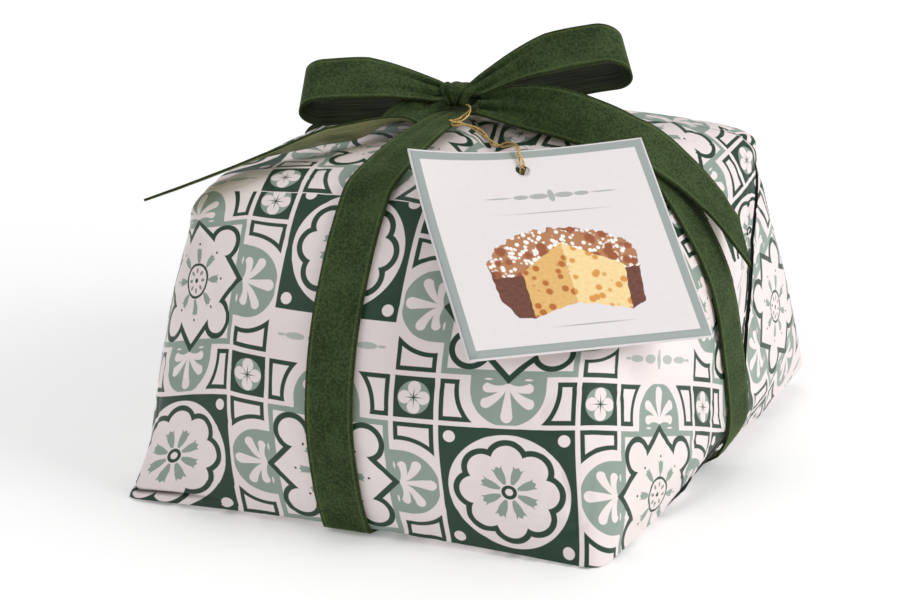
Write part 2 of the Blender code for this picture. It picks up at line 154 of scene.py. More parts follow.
class Finish:
    """A material with a Principled shader, and the one way in which its nodes are made."""

    def __init__(self, name, values):
        self.material = bpy.data.materials.new(name)
        self.material.use_nodes = True
        self.tree = self.material.node_tree
        self.shader = self.tree.nodes["Principled BSDF"]
        for socket, value in values.items():
            self.shader.inputs[socket].default_value = value

    def node(self, kind, settings=None, inputs=None, output=0):
        made = self.tree.nodes.new("ShaderNode" + kind)
        for key, value in (settings or {}).items():
            setattr(made, key, value)
        for key, value in (inputs or {}).items():
            self.join(value, made.inputs[key])
        return Socket(self, made.outputs[output])

    def join(self, value, socket):
        if isinstance(value, Socket):
            self.tree.links.new(value.socket, socket)
        else:
            socket.default_value = value

    def set(self, socket, value):
        self.join(value, self.shader.inputs[socket])

    def mix(self, share, first, second):
        """Two colours mixed; a share of 1 is the second."""
        return self.node("Mix", {"data_type": "RGBA"}, {0: share, 6: first, 7: second}, 2)

    def point(self):
        return self.node("TexCoord", output=3)

    def noise(self, vector, scale, detail=2.0):
        return self.node("TexNoise", None, {"Vector": vector, "Scale": scale, "Detail": detail})

    def split(self, vector):
        made = self.tree.nodes.new("ShaderNodeSeparateXYZ")
        self.tree.links.new(vector.socket, made.inputs[0])
        return [Socket(self, output) for output in made.outputs[:2]]

    def uv(self, name):
        return self.split(self.node("UVMap", {"uv_map": name}))

    def ramp(self, value, slope, start):
        """A straight ramp, held between 0 and 1."""
        inputs = {0: value, 1: slope, 2: start}
        return self.node("Math", {"operation": "MULTIPLY_ADD", "use_clamp": True}, inputs)

    def spread(self, value, *limits):
        """A value spread from one pair of limits to a second one, which is 0 and 1 if it isn't given."""
        return self.node("MapRange", None, dict(enumerate((value, *limits))))

    def reach(self, x, y, to_x=0.0, to_y=0.0):
        """How far a place is from a point."""
        inputs = {0: self.joined(x, y), 1: (to_x, to_y, 0)}
        return self.node("VectorMath", {"operation": "DISTANCE"}, inputs, 1)

    def joined(self, x, y, z=0.0):
        return self.node("CombineXYZ", None, {0: x, 1: y, 2: z})

    def bump(self, height, distance, strength=1.0):
        inputs = {"Height": height, "Distance": distance, "Strength": strength}
        self.set("Normal", self.node("Bump", None, inputs))


def srgb(red, green, blue):
    """A colour given as 0 to 255 screen values, as linear light."""
    return (*((part / 255 / 12.92 if part < 10 else ((part / 255 + 0.055) / 1.055) ** 2.4)
              for part in (red, green, blue)), 1.0)


def add_piece(name, mesh_builder, finishes):
    """Makes a piece of a bmesh, riding on the parcel."""
    mesh = bpy.data.meshes.new(name)
    mesh_builder.to_mesh(mesh)
    mesh_builder.free()
    for finish in finishes:
        mesh.materials.append(finish.material)
    mesh.shade_smooth()
    piece = bpy.data.objects.new(name, mesh)
    bpy.context.scene.collection.objects.link(piece)
    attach(piece, ROOT)
    return piece


def weld(made, distance):
    """Joins vertices of a bmesh within a distance in millimetres, and turns its faces outward."""
    bmesh.ops.remove_doubles(made, verts=made.verts, dist=distance * MM)
    bmesh.ops.recalc_face_normals(made, faces=made.faces)


def mapped_grid(made, columns, rows, place_at):
    """Adds a grid to a bmesh, each vertex moved to place_at(column, row), and returns the vertices' cells."""
    cells = {}
    for vert in bmesh.ops.create_grid(made, x_segments=columns, y_segments=rows, size=0.5)["verts"]:
        cell = (round((vert.co.x + 0.5) * columns), round((vert.co.y + 0.5) * rows))
        cells[vert] = cell
        vert.co = place_at(*cell)
    return cells


hole = tag_point(*TAG_HOLE)
uphill = -TAG_DOWN.normalized()
cord_stops = [Vector(stop) * MM for stop in CORD_ROUTE]
cord_stops += [hole + (uphill * climb + TAG_NORMAL * stand_off) * MM for climb, stand_off in CORD_AT_HOLE]
cord_path = [spline_through(cord_stops, step / CORD_STEPS) for step in range(CORD_STEPS + 1)]
cord_length = sum((b - a).length for a, b in zip(cord_path, cord_path[1:]))


def strand_skin(side, step, strand):
    """A point on one of the two strands, which wind round the cord's middle line."""
    ahead = (cord_path[min(step + 1, CORD_STEPS)] - cord_path[max(step - 1, 0)]).normalized()
    sideways = ahead.cross(CORD_ASIDE).normalized()
    upwards = sideways.cross(ahead)
    travelled = cord_length * step / CORD_STEPS
    turn = 2 * pi * travelled / CORD_TWIST + pi * strand
    angle = 2 * pi * side / STRAND_SIDES
    bead = 1 + BEAD_SWELL * sin(2 * pi * travelled / YARN_BEAD + angle)
    radius = STRAND_RADIUS * bead * (STRAND_END if step in (0, CORD_STEPS) else 1)
    middle = cord_path[step] + (sideways * cos(turn) + upwards * sin(turn)) * STRAND_OFFSET
    return middle + (sideways * cos(angle) + upwards * sin(angle)) * radius


gold = Finish("gold_yarn", {"Metallic": 0.9, "Roughness": 0.3})
gold_grain = gold.noise(gold.point(), 1400)
gold.set("Base Color", gold.mix(gold_grain, srgb(142, 94, 28), srgb(250, 220, 140)))
gold.bump(gold_grain, 0.0002, 0.6)

cord_mesh = bmesh.new()
for strand in (0, 1):
    mapped_grid(cord_mesh, STRAND_SIDES, CORD_STEPS, lambda side, step: strand_skin(side, step, strand))
weld(cord_mesh, 0.03)
cord = add_piece("gold_tag_cord", cord_mesh, [gold])
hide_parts("tag_cord")


# The wrapped cake: one sheet of printed paper over the top and down the front, the sides and the back. At
# the corners it is folded into ears, which lie over the middle panels of the left and right sides.
# The rings are the parcel's sections, in millimetres: corner distances from the middle, swell of the sides,
# roundness of the corners as a share of a side, and crowns, how much higher the middle of a side lies.
Ring = namedtuple("Ring", "height left right front back swell_front swell_side swell_back round "
                          "crown_front crown_side crown_back")
RINGS = (
    Ring(0.6, 119, 123, 136, 131, 1, 2, 1, 0.04, 3.2, 3.2, 3.2),
    Ring(25, 112, 122, 131, 126, 13, 11, 10, 0.07, 0, 0, 0),
    Ring(60, 107, 121, 128, 118, 20, 10, 13, 0.10, 0, 0, 0),
    Ring(95, 102, 115, 122, 110, 19, 10, 13, 0.11, 0, 0, 0),
    Ring(125, 98, 108, 115, 104, 12, 3, 9, 0.12, 0, -2, 0),
    Ring(142, 95, 106, 113, 106, -1, -6, -3, 0.12, 4.5, -4, -2),
    Ring(152, 84, 82, 91, 79, 5, 0, 2, 0.19, 5, 1, 1),
    Ring(158, 40, 42, 46, 40, 6, 4, 4, 0.30, 5, 3, 4),
    Ring(164, 0.5, 0.5, 0.5, 0.5, 0, 0, 0, 0.32, 0, 0, 0),
)
LAST_RING = len(RINGS) - 1
FRONT_SKEW = 17
# Where corners and edges move: how far, the heights between which they do, and the share of a side they take.
BACK_CORNER_LIFT, BACK_LIFT_TOP, BACK_LIFT_REACH = 14, 60, 0.42
BACK_EAR_PUSH, PUSH_HEIGHT, PUSH_BAND, PUSH_REACH = 4.5, 124, 20, 0.5
NEAR_CORNER_SLUMP, NEAR_CORNER_PINCH = 20, 12
SLUMP_START, SLUMP_RISE, SLUMP_REACH, TOP_MIDDLE = 90, 45, 0.45, 80
LEG_LIFT, LEG_LIFT_TOP, LEG_PLACE, LEG_REACH = 6.0, 32, 0.53, 0.17            # under the right ribbon leg
FAR = 9                       # a distance for sides that don't touch a corner
FOLD_STEP, EAR_TOP = 0.9, 5   # how far the panels lie behind the ears, and the level where the ears end
CREVICE_DEPTH, CREVICE_WIDTH = 0.7, 2.6       # along the free edge of each ear
GAP_WIDTH, GAP_EDGE, EAR_LINE = 1.8, 2.5, 0.05         # the painted shade in the gap beside an ear: its width, how sharp it is, and how near the ear's edge a painted dark line is drawn
FOOT_GAP, FOOT_GAP_TOP, FOOT_LEVEL = 100.0, 0.8, 0.04  # the painted shade is wider under the front right ear's edge
EAR_EDGES = ((0.25, 0.54), (0.485, 0.55), (0.475, 0.615), (0.42, 0.75), (0.36, 0.92), (0.25, 0.93),
             (0.22, 0.93), (0.2, 0.94), (0.2, 0.94))
PLEATS = (4.5, 8.5, 13.0)     # folds in the right panel, by their distance from the back ear
PLEAT_DIP, PLEAT_HALF_WIDTH = 1.5, 0.9
FRONT, RIGHT, BACK, LEFT = range(4)
OUTWARD = (Vector((0, -1)), Vector((1, 0)), Vector((0, 1)), Vector((-1, 0)))
FACE_COLUMNS = 96             # columns of the mesh across the front and across the back
EAR_COLUMNS, PANEL_COLUMNS = 34, 56
PANEL_INSET, END_CROWDING = 0.004, 0.45
ROWS_PER_RING, FOOT_ROWS = 18, 36             # the foot is the part below the second ring


def clamp(value):
    return max(0.0, min(1.0, value))


def bell(distance, half_width):
    return exp(-(distance / half_width) ** 2)


def ring_at(level):
    """The parcel's ring at a level, counted in rings from the bottom one."""
    return Ring(*(spline_through(values, level / LAST_RING) for values in zip(*RINGS)))


def ring_corners(ring):
    """The four corners of a ring, from the front left one round past the front right one."""
    skew = FRONT_SKEW / 2 * ring.front / RINGS[0].front
    return (Vector((-ring.left, -ring.front - skew)), Vector((ring.right, -ring.front + skew)),
            Vector((ring.right, ring.back)), Vector((-ring.left, ring.back)))


def side_point(ring, side, along):
    """A point on one swollen side of a ring, and its slope along the side, both as (x, y)."""
    corners = ring_corners(ring)
    start, end = corners[side], corners[(side + 1) % 4]
    swell = (ring.swell_front, ring.swell_side, ring.swell_back, ring.swell_side)[side]
    point = start.lerp(end, along) + OUTWARD[side] * swell * 4 * along * (1 - along)
    slope = end - start + OUTWARD[side] * swell * 4 * (1 - 2 * along)
    return point, slope


def rounded_point(ring, side, along):
    """A point on a ring with its corners rounded by quadratic curves."""
    reach = ring.round
    if reach <= along <= 1 - reach:
        return side_point(ring, side, along)[0]
    if along < reach:
        first, u = (side - 1) % 4, 0.5 + along / (2 * reach)
    else:
        first, u = side, 0.5 - (1 - along) / (2 * reach)
    arrive, arrive_slope = side_point(ring, first, 1 - reach)
    leave, leave_slope = side_point(ring, (first + 1) % 4, reach)
    control = (arrive + arrive_slope * reach + leave - leave_slope * reach) / 2
    return arrive * (1 - u) ** 2 + control * 2 * u * (1 - u) + leave * u * u


def corner_shift(ring, side, along):
    """How far a point moves: the back right ear is lifted, the front right corner sunk and pushed in."""
    to_back_right = 1 - along if side == RIGHT else along if side == BACK else FAR
    lift = BACK_CORNER_LIFT * fade(ring.height, BACK_LIFT_TOP) * fade(to_back_right, BACK_LIFT_REACH)
    if side == RIGHT:
        lift += LEG_LIFT * fade(ring.height, LEG_LIFT_TOP) * fade(((along - LEG_PLACE) / LEG_REACH) ** 2)
    near_top = clamp((ring.height - SLUMP_START) / SLUMP_RISE) * min(1.0, ring.front / TOP_MIDDLE)
    from_near = along if side == RIGHT else 1 - along if side == FRONT else FAR
    sunk = near_top * fade(from_near, SLUMP_REACH) ** 2
    pinch = NEAR_CORNER_PINCH * sunk
    push = BACK_EAR_PUSH * bell(ring.height - PUSH_HEIGHT, PUSH_BAND) * fade(to_back_right, PUSH_REACH)
    return Vector((push - pinch, pinch, lift - NEAR_CORNER_SLUMP * sunk))


def skin_point(ring, side, along, recess=0.0):
    """A point of the parcel's skin on a given ring, in metres."""
    flat = rounded_point(ring, side, along) - OUTWARD[side] * recess
    crown = (ring.crown_front, ring.crown_side, ring.crown_back, ring.crown_side)[side]
    height = ring.height + crown * 4 * along * (1 - along)
    return (Vector((flat.x, flat.y, height)) + corner_shift(ring, side, along)) * MM


def parcel_point(side, along, level):
    return skin_point(ring_at(level), side, along)


def ear_edges(side, level):
    """Where the two ears of a side end, as shares of the way along it."""
    near, far = (spline_through([edges[which] for edges in EAR_EDGES], level / LAST_RING) for which in (0, 1))
    return (near, far) if side == RIGHT else (1 - far, 1 - near)


def even_to_ends(share):
    """Spreads columns over a side, closer together at its two ends."""
    return (1 - END_CROWDING) * share + END_CROWDING * (0.5 - 0.5 * cos(pi * share))


def columns_at(level):
    """The mesh columns round the parcel at a level: side, place along it, and whether it is in the panel."""
    columns = []
    for side in range(4):
        if side in (FRONT, BACK):
            columns += [(side, even_to_ends(index / FACE_COLUMNS), False) for index in range(FACE_COLUMNS)]
            continue
        first, last = ear_edges(side, level)
        columns += [(side, first * sin(pi / 2 * index / EAR_COLUMNS), False)
                    for index in range(EAR_COLUMNS + 1)]
        start, width = first + PANEL_INSET, last - first - 2 * PANEL_INSET
        columns += [(side, start + width * index / PANEL_COLUMNS, True) for index in range(PANEL_COLUMNS + 1)]
        columns += [(side, 1 - (1 - last) * cos(pi / 2 * index / EAR_COLUMNS), False)
                    for index in range(EAR_COLUMNS)]
    return columns


# The print's lattice of tiles: narrow strips one cell wide and wide ones of three cells, from a corner of
# the lattice on the front. The rows lean down the ears, as a sheet's rows do round a tapering block.
CELL = 21.07
PRINT_LEFT_LINE = -54.0
PRINT_ROW_LEVEL = 2.12
PRINT_TOP_ROW = 5.0
EAR_LEAN = 0.32               # the angle of the lean, and the shares of a side in which it sets in
LEAN_REACH, LEFT_LEAN_REACH = 0.08, 0.28
# How close the print's columns lie on the front's left part, for each ring, and low on the right front ear.
LEFT_CLOSENESS = (0.82, 0.9, 1.18, 1.36, 1.22, 1.12, 1.1, 1.1, 1.1)
RIGHT_CROWDING, MOST_CROWDING, CROWDING_TOP, CROWDING_START = 1.6, 2.0, 2.4, 0.25
# The print has slipped by this much on the back right ear, and so many columns beyond the corner.
BACK_EAR_PULL, PULL_PAST_CORNER = (-0.96, -1.98), 6
# Below a level the right panel's print runs with the edge of the back ear, and above its foot a bare strip of
# the print lies there.
PANEL_TURN, PANEL_FOOT = 3.05, 1.95
PANEL_FOOT_PLACE, PANEL_STRIP_SHIFT = 14.93, (3.4, 0.35)
TOP_DRIFT_LEFT, TOP_DRIFT_RIGHT, DRIFT_SPAN = 0.24, 0.05, 130
FRONT_EDGE_SLOPE = FRONT_SKEW / 240
RIM_LEVEL = 5.35
ON_EDGE = 1e-6

level_rows = [row / FOOT_ROWS for row in range(FOOT_ROWS)]
level_rows += [1 + row / ROWS_PER_RING for row in range((LAST_RING - 1) * ROWS_PER_RING)]
rings = [ring_at(level) for level in level_rows]
columns = [columns_at(level) for level in level_rows]
COLUMN_COUNT = len(columns[0])


def row_at(level):
    return min(range(len(level_rows)), key=lambda row: abs(level_rows[row] - level))


def from_ears(side, along, row):
    """How far a place on a panel is from the two ears beside it, in millimetres."""
    first, last = ear_edges(side, level_rows[row])
    side_length = 2 * rings[row].front
    return (along - first) * side_length, (last - along) * side_length


def bare_point(column, row):
    """A smooth point of the skin: the panels lie a step behind the ears, with a crevice along each ear."""
    side, along, inside = columns[row][column % COLUMN_COUNT]
    level = level_rows[row]
    if not inside:
        return skin_point(rings[row], side, along)
    from_first, from_last = from_ears(side, along, row)
    dip = CREVICE_DEPTH * bell(min(from_first, from_last), CREVICE_WIDTH)
    if side == RIGHT:
        dip += sum(PLEAT_DIP * bell(from_last - pleat, PLEAT_HALF_WIDTH) for pleat in PLEATS)
    return skin_point(rings[row], side, along, (FOLD_STEP + dip) * clamp((EAR_TOP - level) / 2))


def painted_gap_shade(column, row):
    """How much shade is painted into the gap beside an ear, and on the ear's edge, from 0 to 1."""
    side, along, inside = columns[row][column % COLUMN_COUNT]
    if side in (FRONT, BACK):
        return 0.0
    level = level_rows[row]
    from_first, from_last = from_ears(side, along, row)
    if not inside:
        return 1.0 if min(abs(from_first), abs(from_last)) < EAR_LINE and level > FOOT_LEVEL else 0.0
    front_width = GAP_WIDTH + (FOOT_GAP * fade(level, FOOT_GAP_TOP) if side == RIGHT else 0.0)
    near = max(fade(from_first, front_width), fade(from_last, GAP_WIDTH))
    return min(1.0, GAP_EDGE * near) * min(1.0, level / FOOT_LEVEL) * clamp(EAR_TOP - level)


bare = [[bare_point(column, row) / MM for column in range(COLUMN_COUNT)] for row in range(len(level_rows))]
front_middle = FACE_COLUMNS // 2
back_middle = FACE_COLUMNS + 2 * EAR_COLUMNS + PANEL_COLUMNS + 2 + FACE_COLUMNS // 2
rim_row = row_at(RIM_LEVEL)
row_heights = [0.0]
for lower, upper in zip(bare, bare[1:]):
    row_heights.append(row_heights[-1] + (upper[front_middle] - lower[front_middle]).length)
zero_height = row_heights[row_at(PRINT_ROW_LEVEL)]


def lean_at(row, column):
    """The angle at which the print's rows lean down at a column: none on a face, all of it on the ears."""
    side, along, _ = columns[row][column]
    from_corner = min(along, 1 - along)
    if side in (RIGHT, LEFT):
        return EAR_LEAN * (0.5 + 0.5 * min(1.0, from_corner / LEAN_REACH))
    if (along < 0.5) == (side == FRONT):
        return EAR_LEAN * fade((from_corner / LEFT_LEAN_REACH) ** 2)
    return EAR_LEAN * 0.5 * fade(from_corner, LEAN_REACH)


def walk(row, start, count, step, place, a_step, b_step, pull=(0.0, 0.0), crowding=0.0):
    """The print's places along a row of the mesh, from a start column: the run of the paper. The pull is how
    far the print has slipped beyond the corner, and the crowding is that of its columns on the right side."""
    places = {start % COLUMN_COUNT: tuple(place)}
    a, b = place
    for index in range(count):
        here, there = (start + step * index) % COLUMN_COUNT, (start + step * (index + 1)) % COLUMN_COUNT
        gap = bare[row][there] - bare[row][here]
        run, lean = hypot(gap.x, gap.y) / CELL, lean_at(row, there)
        side, along, _ = columns[row][there]
        if side == RIGHT:
            run *= 1 + crowding * max(0.0, along - CROWDING_START)
        a += a_step * run * cos(lean)
        b += b_step * run * sin(lean)
        slip = clamp((index - FACE_COLUMNS / 4) / (FACE_COLUMNS / 4 + PULL_PAST_CORNER))
        slip = slip * slip * (3 - 2 * slip)
        places[there] = (a + pull[0] * slip, b + pull[1] * slip)
    return places


def top_place(point):
    """The print's place on the top, and on the panels, which hang down from it."""
    rim = bare[rim_row][front_middle]
    rightward, inward = point.x - PRINT_LEFT_LINE, point.y - rim.y - FRONT_EDGE_SLOPE * (point.x - rim.x)
    drift = TOP_DRIFT_LEFT + (TOP_DRIFT_RIGHT - TOP_DRIFT_LEFT) * clamp(rightward / DRIFT_SPAN)
    return (rightward + drift * max(0.0, inward)) / CELL, PRINT_TOP_ROW + inward / CELL


def drop_from_rim(row, column):
    return sum((bare[r + 1][column] - bare[r][column]).length for r in range(row, rim_row)) / CELL


front_places, back_places = [], []
ear = EAR_COLUMNS + 1
for row, level in enumerate(level_rows):
    anchor = min(range(FACE_COLUMNS), key=lambda column: abs(bare[row][column].x - PRINT_LEFT_LINE))
    place = ((bare[row][anchor].x - PRINT_LEFT_LINE) / CELL, (row_heights[row] - zero_height) / CELL)
    closeness = spline_through(LEFT_CLOSENESS, level / LAST_RING)
    crowding = max(0.0, min(MOST_CROWDING, RIGHT_CROWDING * (CROWDING_TOP - level)))
    front_places.append({**walk(row, anchor, anchor + ear, -1, place, -closeness, 1),
                         **walk(row, anchor, FACE_COLUMNS + ear - anchor, 1, place, 1, 1, crowding=crowding)})
    a, b = top_place(bare[rim_row][back_middle])
    place = (a, b + drop_from_rim(row, back_middle))
    back_places.append({**walk(row, back_middle, FACE_COLUMNS // 2 + ear, -1, place, 1, -1, BACK_EAR_PULL),
                        **walk(row, back_middle, FACE_COLUMNS // 2 + ear, 1, place, -1, -1)})


def print_place(column, row, region):
    """The print's place at a point of the mesh, in the run of a region."""
    column %= COLUMN_COUNT
    if region == "front":
        return front_places[row][column]
    if region == "back":
        return back_places[row][column]
    point = bare[row][column]
    if region == "top":
        return top_place(point)
    a, b = top_place(bare[rim_row][column])[0], top_place(point)[1]
    drop = drop_from_rim(row, column)
    side, along, _ = columns[row][column]
    if region in ("panel strip", "panel foot"):
        b = PANEL_FOOT_PLACE - from_ears(side, along, row)[1] / CELL
    if region == "panel strip":
        a, b = a + PANEL_STRIP_SHIFT[0], b + PANEL_STRIP_SHIFT[1]
    return (a - drop if side == LEFT else a + drop), b


def region_of(column, row):
    """The run of the print that a face of the mesh belongs to."""
    side, along, inside = columns[row][column % COLUMN_COUNT]
    if level_rows[row] >= RIM_LEVEL:
        return "top"
    if inside:
        if side == LEFT or level_rows[row] >= PANEL_TURN:
            return "panel"
        return "panel strip" if level_rows[row] >= PANEL_FOOT else "panel foot"
    in_first_ear = along <= ear_edges(side, level_rows[row])[0] + ON_EDGE
    in_front = side == FRONT or side != BACK and in_first_ear == (side == RIGHT)
    return "front" if in_front else "back"


# The tiles are drawn in cells. A star tile has a frame, a star with four points and four round lobes, and a
# fan beyond each point; a flower tile is dark with a pale round in it; the small tile has four petals.
HALF_TILE = 1.5               # of the wide tiles
EDGE_BLUR = 0.012
GROUT = 0.054                 # half of the pale line between tiles
LINE, CORNER_LINE, FRAME_LINE = 0.13, 0.10, 0.125      # the dark outlines, and the frame
DISC, PETAL, PETAL_ROUND, PETAL_SLOPE, PETAL_END = 0.35, 0.205, 0.142, 0.62, 0.16
CROSS, CROSS_TAPER, CROSS_END = 0.018, 0.09, 0.22
PALE_ROUND, FLOWER_HEART, FLOWER_LOBE, FLOWER_LOBE_ROUND = 1.31, 0.75, 0.735, 0.47
FLOWER_RING, FLOWER_RING_LINE, CORNER_DOT, CORNER_DOT_ROUND = 0.126, 0.042, 1.215, 0.13
STAR_TIP, STAR_LOBE, STAR_LOBE_ROUND = 1.605, 0.87, 0.465
STAR_RING, STAR_RING_LINE, STAR_DOT, STAR_DOT_ROUND, STAR_MIDDLE = 0.382, 0.03, 0.88, 0.03, 0.055
SPECK, SPECK_ROUND, SPECK_FLATNESS, SPECK_INK = 0.235, 0.038, 0.6, 0.7
FAN_ROUND, FAN_CENTRE, FAN_CLEAR = 0.795, 0.205, 1.035
# The pale drops in a fan: angle from the fan's middle, distance of the round end from the tip, and radius.
# They bend outward, and start as narrow as the slivers at the fan's foot.
FAN_DROPS = ((0, 0.69, 0.128), (48, 0.61, 0.115), (79, 0.437, 0.105))
FAN_POINT, DROP_START, DROP_BEND = 0.105, 0.022, 0.62
SLIVER_DEPTH, SLIVER_SIDE, SLIVER_FLATNESS = 0.011, 0.42, 0.26
# Buds: where they start and end, and their half width. Then where they are widest, how narrow they start,
# where and how much they flare, and the two notches in their end.
FLOWER_BUD, STAR_BUD = (0.20, 0.64, 0.098), (0.42, 0.79, 0.082)
BUD_BELLY, BUD_NECK, BUD_FLARE_START, BUD_FLARE = 0.6, 0.3, 0.72, 0.25
BUD_NOTCH, BUD_NOTCH_DEPTH = 0.68, 0.15
LEAVES = ((0, 0.06, 0.22), (0.34, 0.2, 0.1), (0.86, 0.24, 0.075), (1.2, 0.1, 0.03))   # place, half sizes


class Tiles(Finish):
    """The printed paper: its tiles tell where it is dark green, and where it is sage."""

    def __init__(self, name, values):
        super().__init__(name, values)
        a, b = self.uv("print")
        across, up = a % 4, b % 9
        wide, star_low = across > 1, a % 8 > 4
        star_right = abs(star_low - (up > 5))
        self.x = self.pick(wide, self.pick(star_right, across + 1.5, 2.5 - across), abs(across - 2.5))
        up = self.pick(wide, up, (b + 4 * (1 - star_low)) % 9)
        self.y = abs(up - 2.5).least(abs(up - 7.5))
        in_row = self.y < HALF_TILE
        self.star_cells = self.pick(wide, in_row, up < 5)
        self.flower_cells = wide * (up > 6)
        self.strip_cells = wide * (up > 5) * (up < 6)
        self.strip = up - 5.5
        self.small_cells = (1 - wide) * (1 - in_row)
        self.small_place = abs(across - 0.5), abs(up.math("FRACT") - 0.5)
        self.radius = self.reach(self.x, self.y)
        angle, step = self.y.math("ARCTAN2", self.x), pi / 4
        turn = abs(angle - (angle / step).math("ROUND") * step)
        self.on_axis, self.off_axis = ((self.radius * from_axis.cosine(), self.radius * from_axis.sine())
                                       for from_axis in (turn, step / 2 - turn))

    def pick(self, share, first, second):
        return first + share * (second - first)

    def cover(self, distance):
        """1 inside an outline, where the distance to it is negative, and 0 outside."""
        return self.ramp(distance, -1 / EDGE_BLUR, 0.5)

    def bud(self, along, off, start, end, width):
        """A sage bud: narrow at the start, round, and cut into three points at the end."""
        share = (along - start) / (end - start)
        bulge = ((share / BUD_BELLY).least(1.0) * (pi / 2)).sine()
        flare = ((share - BUD_FLARE_START) / (1 - BUD_FLARE_START)).most(0.0)
        body = width * (BUD_NECK + (1 - BUD_NECK) * bulge + BUD_FLARE * flare)
        notch = BUD_NOTCH_DEPTH * (end - start) * (1 - abs(off / (BUD_NOTCH * width) - 1))
        return self.cover(off - body) * self.cover(start - along) * self.cover(along - end + notch)

    def small_tile(self):
        x, y = self.small_place
        out, off = x.most(y), x.least(y)
        tile, disc = self.cover(out - 0.5 + GROUT), self.cover(self.reach(x, y) - DISC)
        petals = self.reach(out, off, PETAL) - PETAL_ROUND
        petals = self.cover(petals.least((off - PETAL_SLOPE * out).most(out - PETAL_END)))
        cross = self.cover(off + CROSS_TAPER * out - CROSS) * self.cover(out - CROSS_END)
        dark = self.small_cells * (tile * (1 - disc)).most(cross)
        return dark, self.small_cells * disc * (1 - petals)

    def flower_tile(self):
        tile = self.cover(self.x.most(self.y) - HALF_TILE + GROUT)
        lobe, heart = self.reach(*self.on_axis, FLOWER_LOBE) - FLOWER_LOBE_ROUND, self.radius - FLOWER_HEART
        outer, inner = self.cover(lobe.least(heart)), self.cover((lobe + LINE).least(heart))
        ring = self.cover(abs(self.radius - FLOWER_RING) - FLOWER_RING_LINE)
        corner = self.cover(self.reach(self.x, self.y, CORNER_DOT, CORNER_DOT) - CORNER_DOT_ROUND)
        dark = (1 - self.cover(self.radius - PALE_ROUND)) * (1 - corner) + outer * (1 - inner) + ring
        sage = inner * self.bud(*self.off_axis, *FLOWER_BUD)
        return self.flower_cells * tile * dark.least(1.0), self.flower_cells * sage

    def ornament(self):
        """A row of plain leaves in the bare strips."""
        leaves = ((self.reach((self.x - place) / length, self.strip / width) - 1) * width
                  for place, length, width in LEAVES)
        return self.strip_cells * self.cover(reduce(Socket.least, leaves))

    def fan_drops(self, depth, side):
        """The pale drops and slivers in the fan beyond a star's point."""
        run, angle = self.reach(depth, side, FAN_POINT), side.math("ARCTAN2", depth - FAN_POINT)
        sliver = self.reach(depth - SLIVER_DEPTH, (side - SLIVER_SIDE) * SLIVER_FLATNESS)
        drops = [self.cover(sliver - DROP_START)]
        for degrees, length, radius in FAN_DROPS:
            share = (run / length).least(1.0)
            off = abs(angle - radians(degrees) * (DROP_BEND + (1 - DROP_BEND) * share)) * run
            taper = (off - DROP_START - (radius - DROP_START) * share).most(run - length)
            drops.append(self.cover(taper.least(self.reach(run - length, off) - radius)))
        return reduce(Socket.most, drops)

    def star_marks(self):
        """The dark ring, specks, dots and middle inside a star."""
        ring = self.cover(abs(self.radius - STAR_RING) - STAR_RING_LINE)
        speck = self.reach(self.on_axis[0] * SPECK_FLATNESS, self.on_axis[1], SPECK * SPECK_FLATNESS)
        dots = self.cover(self.reach(*self.on_axis, STAR_DOT) - STAR_DOT_ROUND)
        middle = self.cover(self.radius - STAR_MIDDLE)
        return ring.most(self.cover(speck - SPECK_ROUND) * SPECK_INK).most(dots).most(middle)

    def star_tile(self):
        out, side = self.x.most(self.y), self.x.least(self.y)
        depth = out - HALF_TILE
        points = (self.x + self.y - STAR_TIP) / 2 ** 0.5
        outline = points.least(self.reach(self.x, self.y, STAR_LOBE, STAR_LOBE) - STAR_LOBE_ROUND)
        star, inside = self.cover(outline), self.cover(outline + LINE)
        frame_band = self.cover(abs(depth + GROUT + FRAME_LINE / 2) - FRAME_LINE / 2)
        fan = self.cover(self.reach((depth - FAN_CENTRE).most(0), side) - FAN_ROUND)
        fan = fan * self.cover(-1 * depth - 2 * GROUT) * self.cover(depth - 1 + GROUT / 2)
        corner = (abs(depth - 0.5) - 0.5 + GROUT).most(side - HALF_TILE + GROUT)
        corner = corner.most(FAN_CLEAR - self.reach(depth, side, FAN_CENTRE))
        corner = self.cover(corner) * (1 - self.cover(corner + CORNER_LINE))
        dark = corner + star * (1 - inside) + inside * self.star_marks()
        sage = (1 - star) * frame_band.most(fan * (1 - self.fan_drops(depth, side)))
        sage = sage + inside * self.bud(*self.on_axis, *STAR_BUD)
        return self.star_cells * dark.least(1.0), self.star_cells * sage.least(1.0)


PAPER_ROUGHNESS, GAP_ROUGHNESS = 0.42, 0.55
paper = Tiles("printed_paper", {"Specular IOR Level": 0.3})
darks, sages = zip(paper.small_tile(), paper.flower_tile(), paper.star_tile())
paper_point = paper.point()
mottle = paper.noise(paper_point, 26, 4.0)
pale = paper.mix(mottle, srgb(224, 211, 209), srgb(237, 227, 225))
sage_ink = paper.mix(mottle, srgb(130, 146, 135), srgb(148, 163, 152))
dark_ink = paper.mix(mottle, srgb(27, 54, 39), srgb(39, 68, 52))
printed = paper.mix(paper.ornament(), pale, srgb(176, 180, 174))
printed = paper.mix(sum(sages), printed, sage_ink)
printed = paper.mix(sum(darks), printed, dark_ink)
# Painted shade: the gap attribute darkens the paper nearly to black in the gaps beside the ears and in the
# crack at the front left foot; it also makes the paper rougher there.
painted_shade_mask = paper.node("Attribute", {"attribute_name": "gap"}, output=2)
paper.set("Base Color", paper.mix(painted_shade_mask, printed, srgb(6, 8, 7)))
paper.set("Roughness", PAPER_ROUGHNESS + GAP_ROUGHNESS * painted_shade_mask)
paper.bump(paper.noise(paper_point, 900, 2.0), 0.00004, 0.5)

SOLE_HEIGHT, SOLE_INSET, SOLE_ROWS = 1.6, 14, 14
INSET_PER_LIFT = 2.4          # the inset grows where the edge stands off the floor
ROLL = 0.25                   # the share of the way to the middle in which the paper rolls under
TOP_ROW = SOLE_ROWS + len(level_rows)


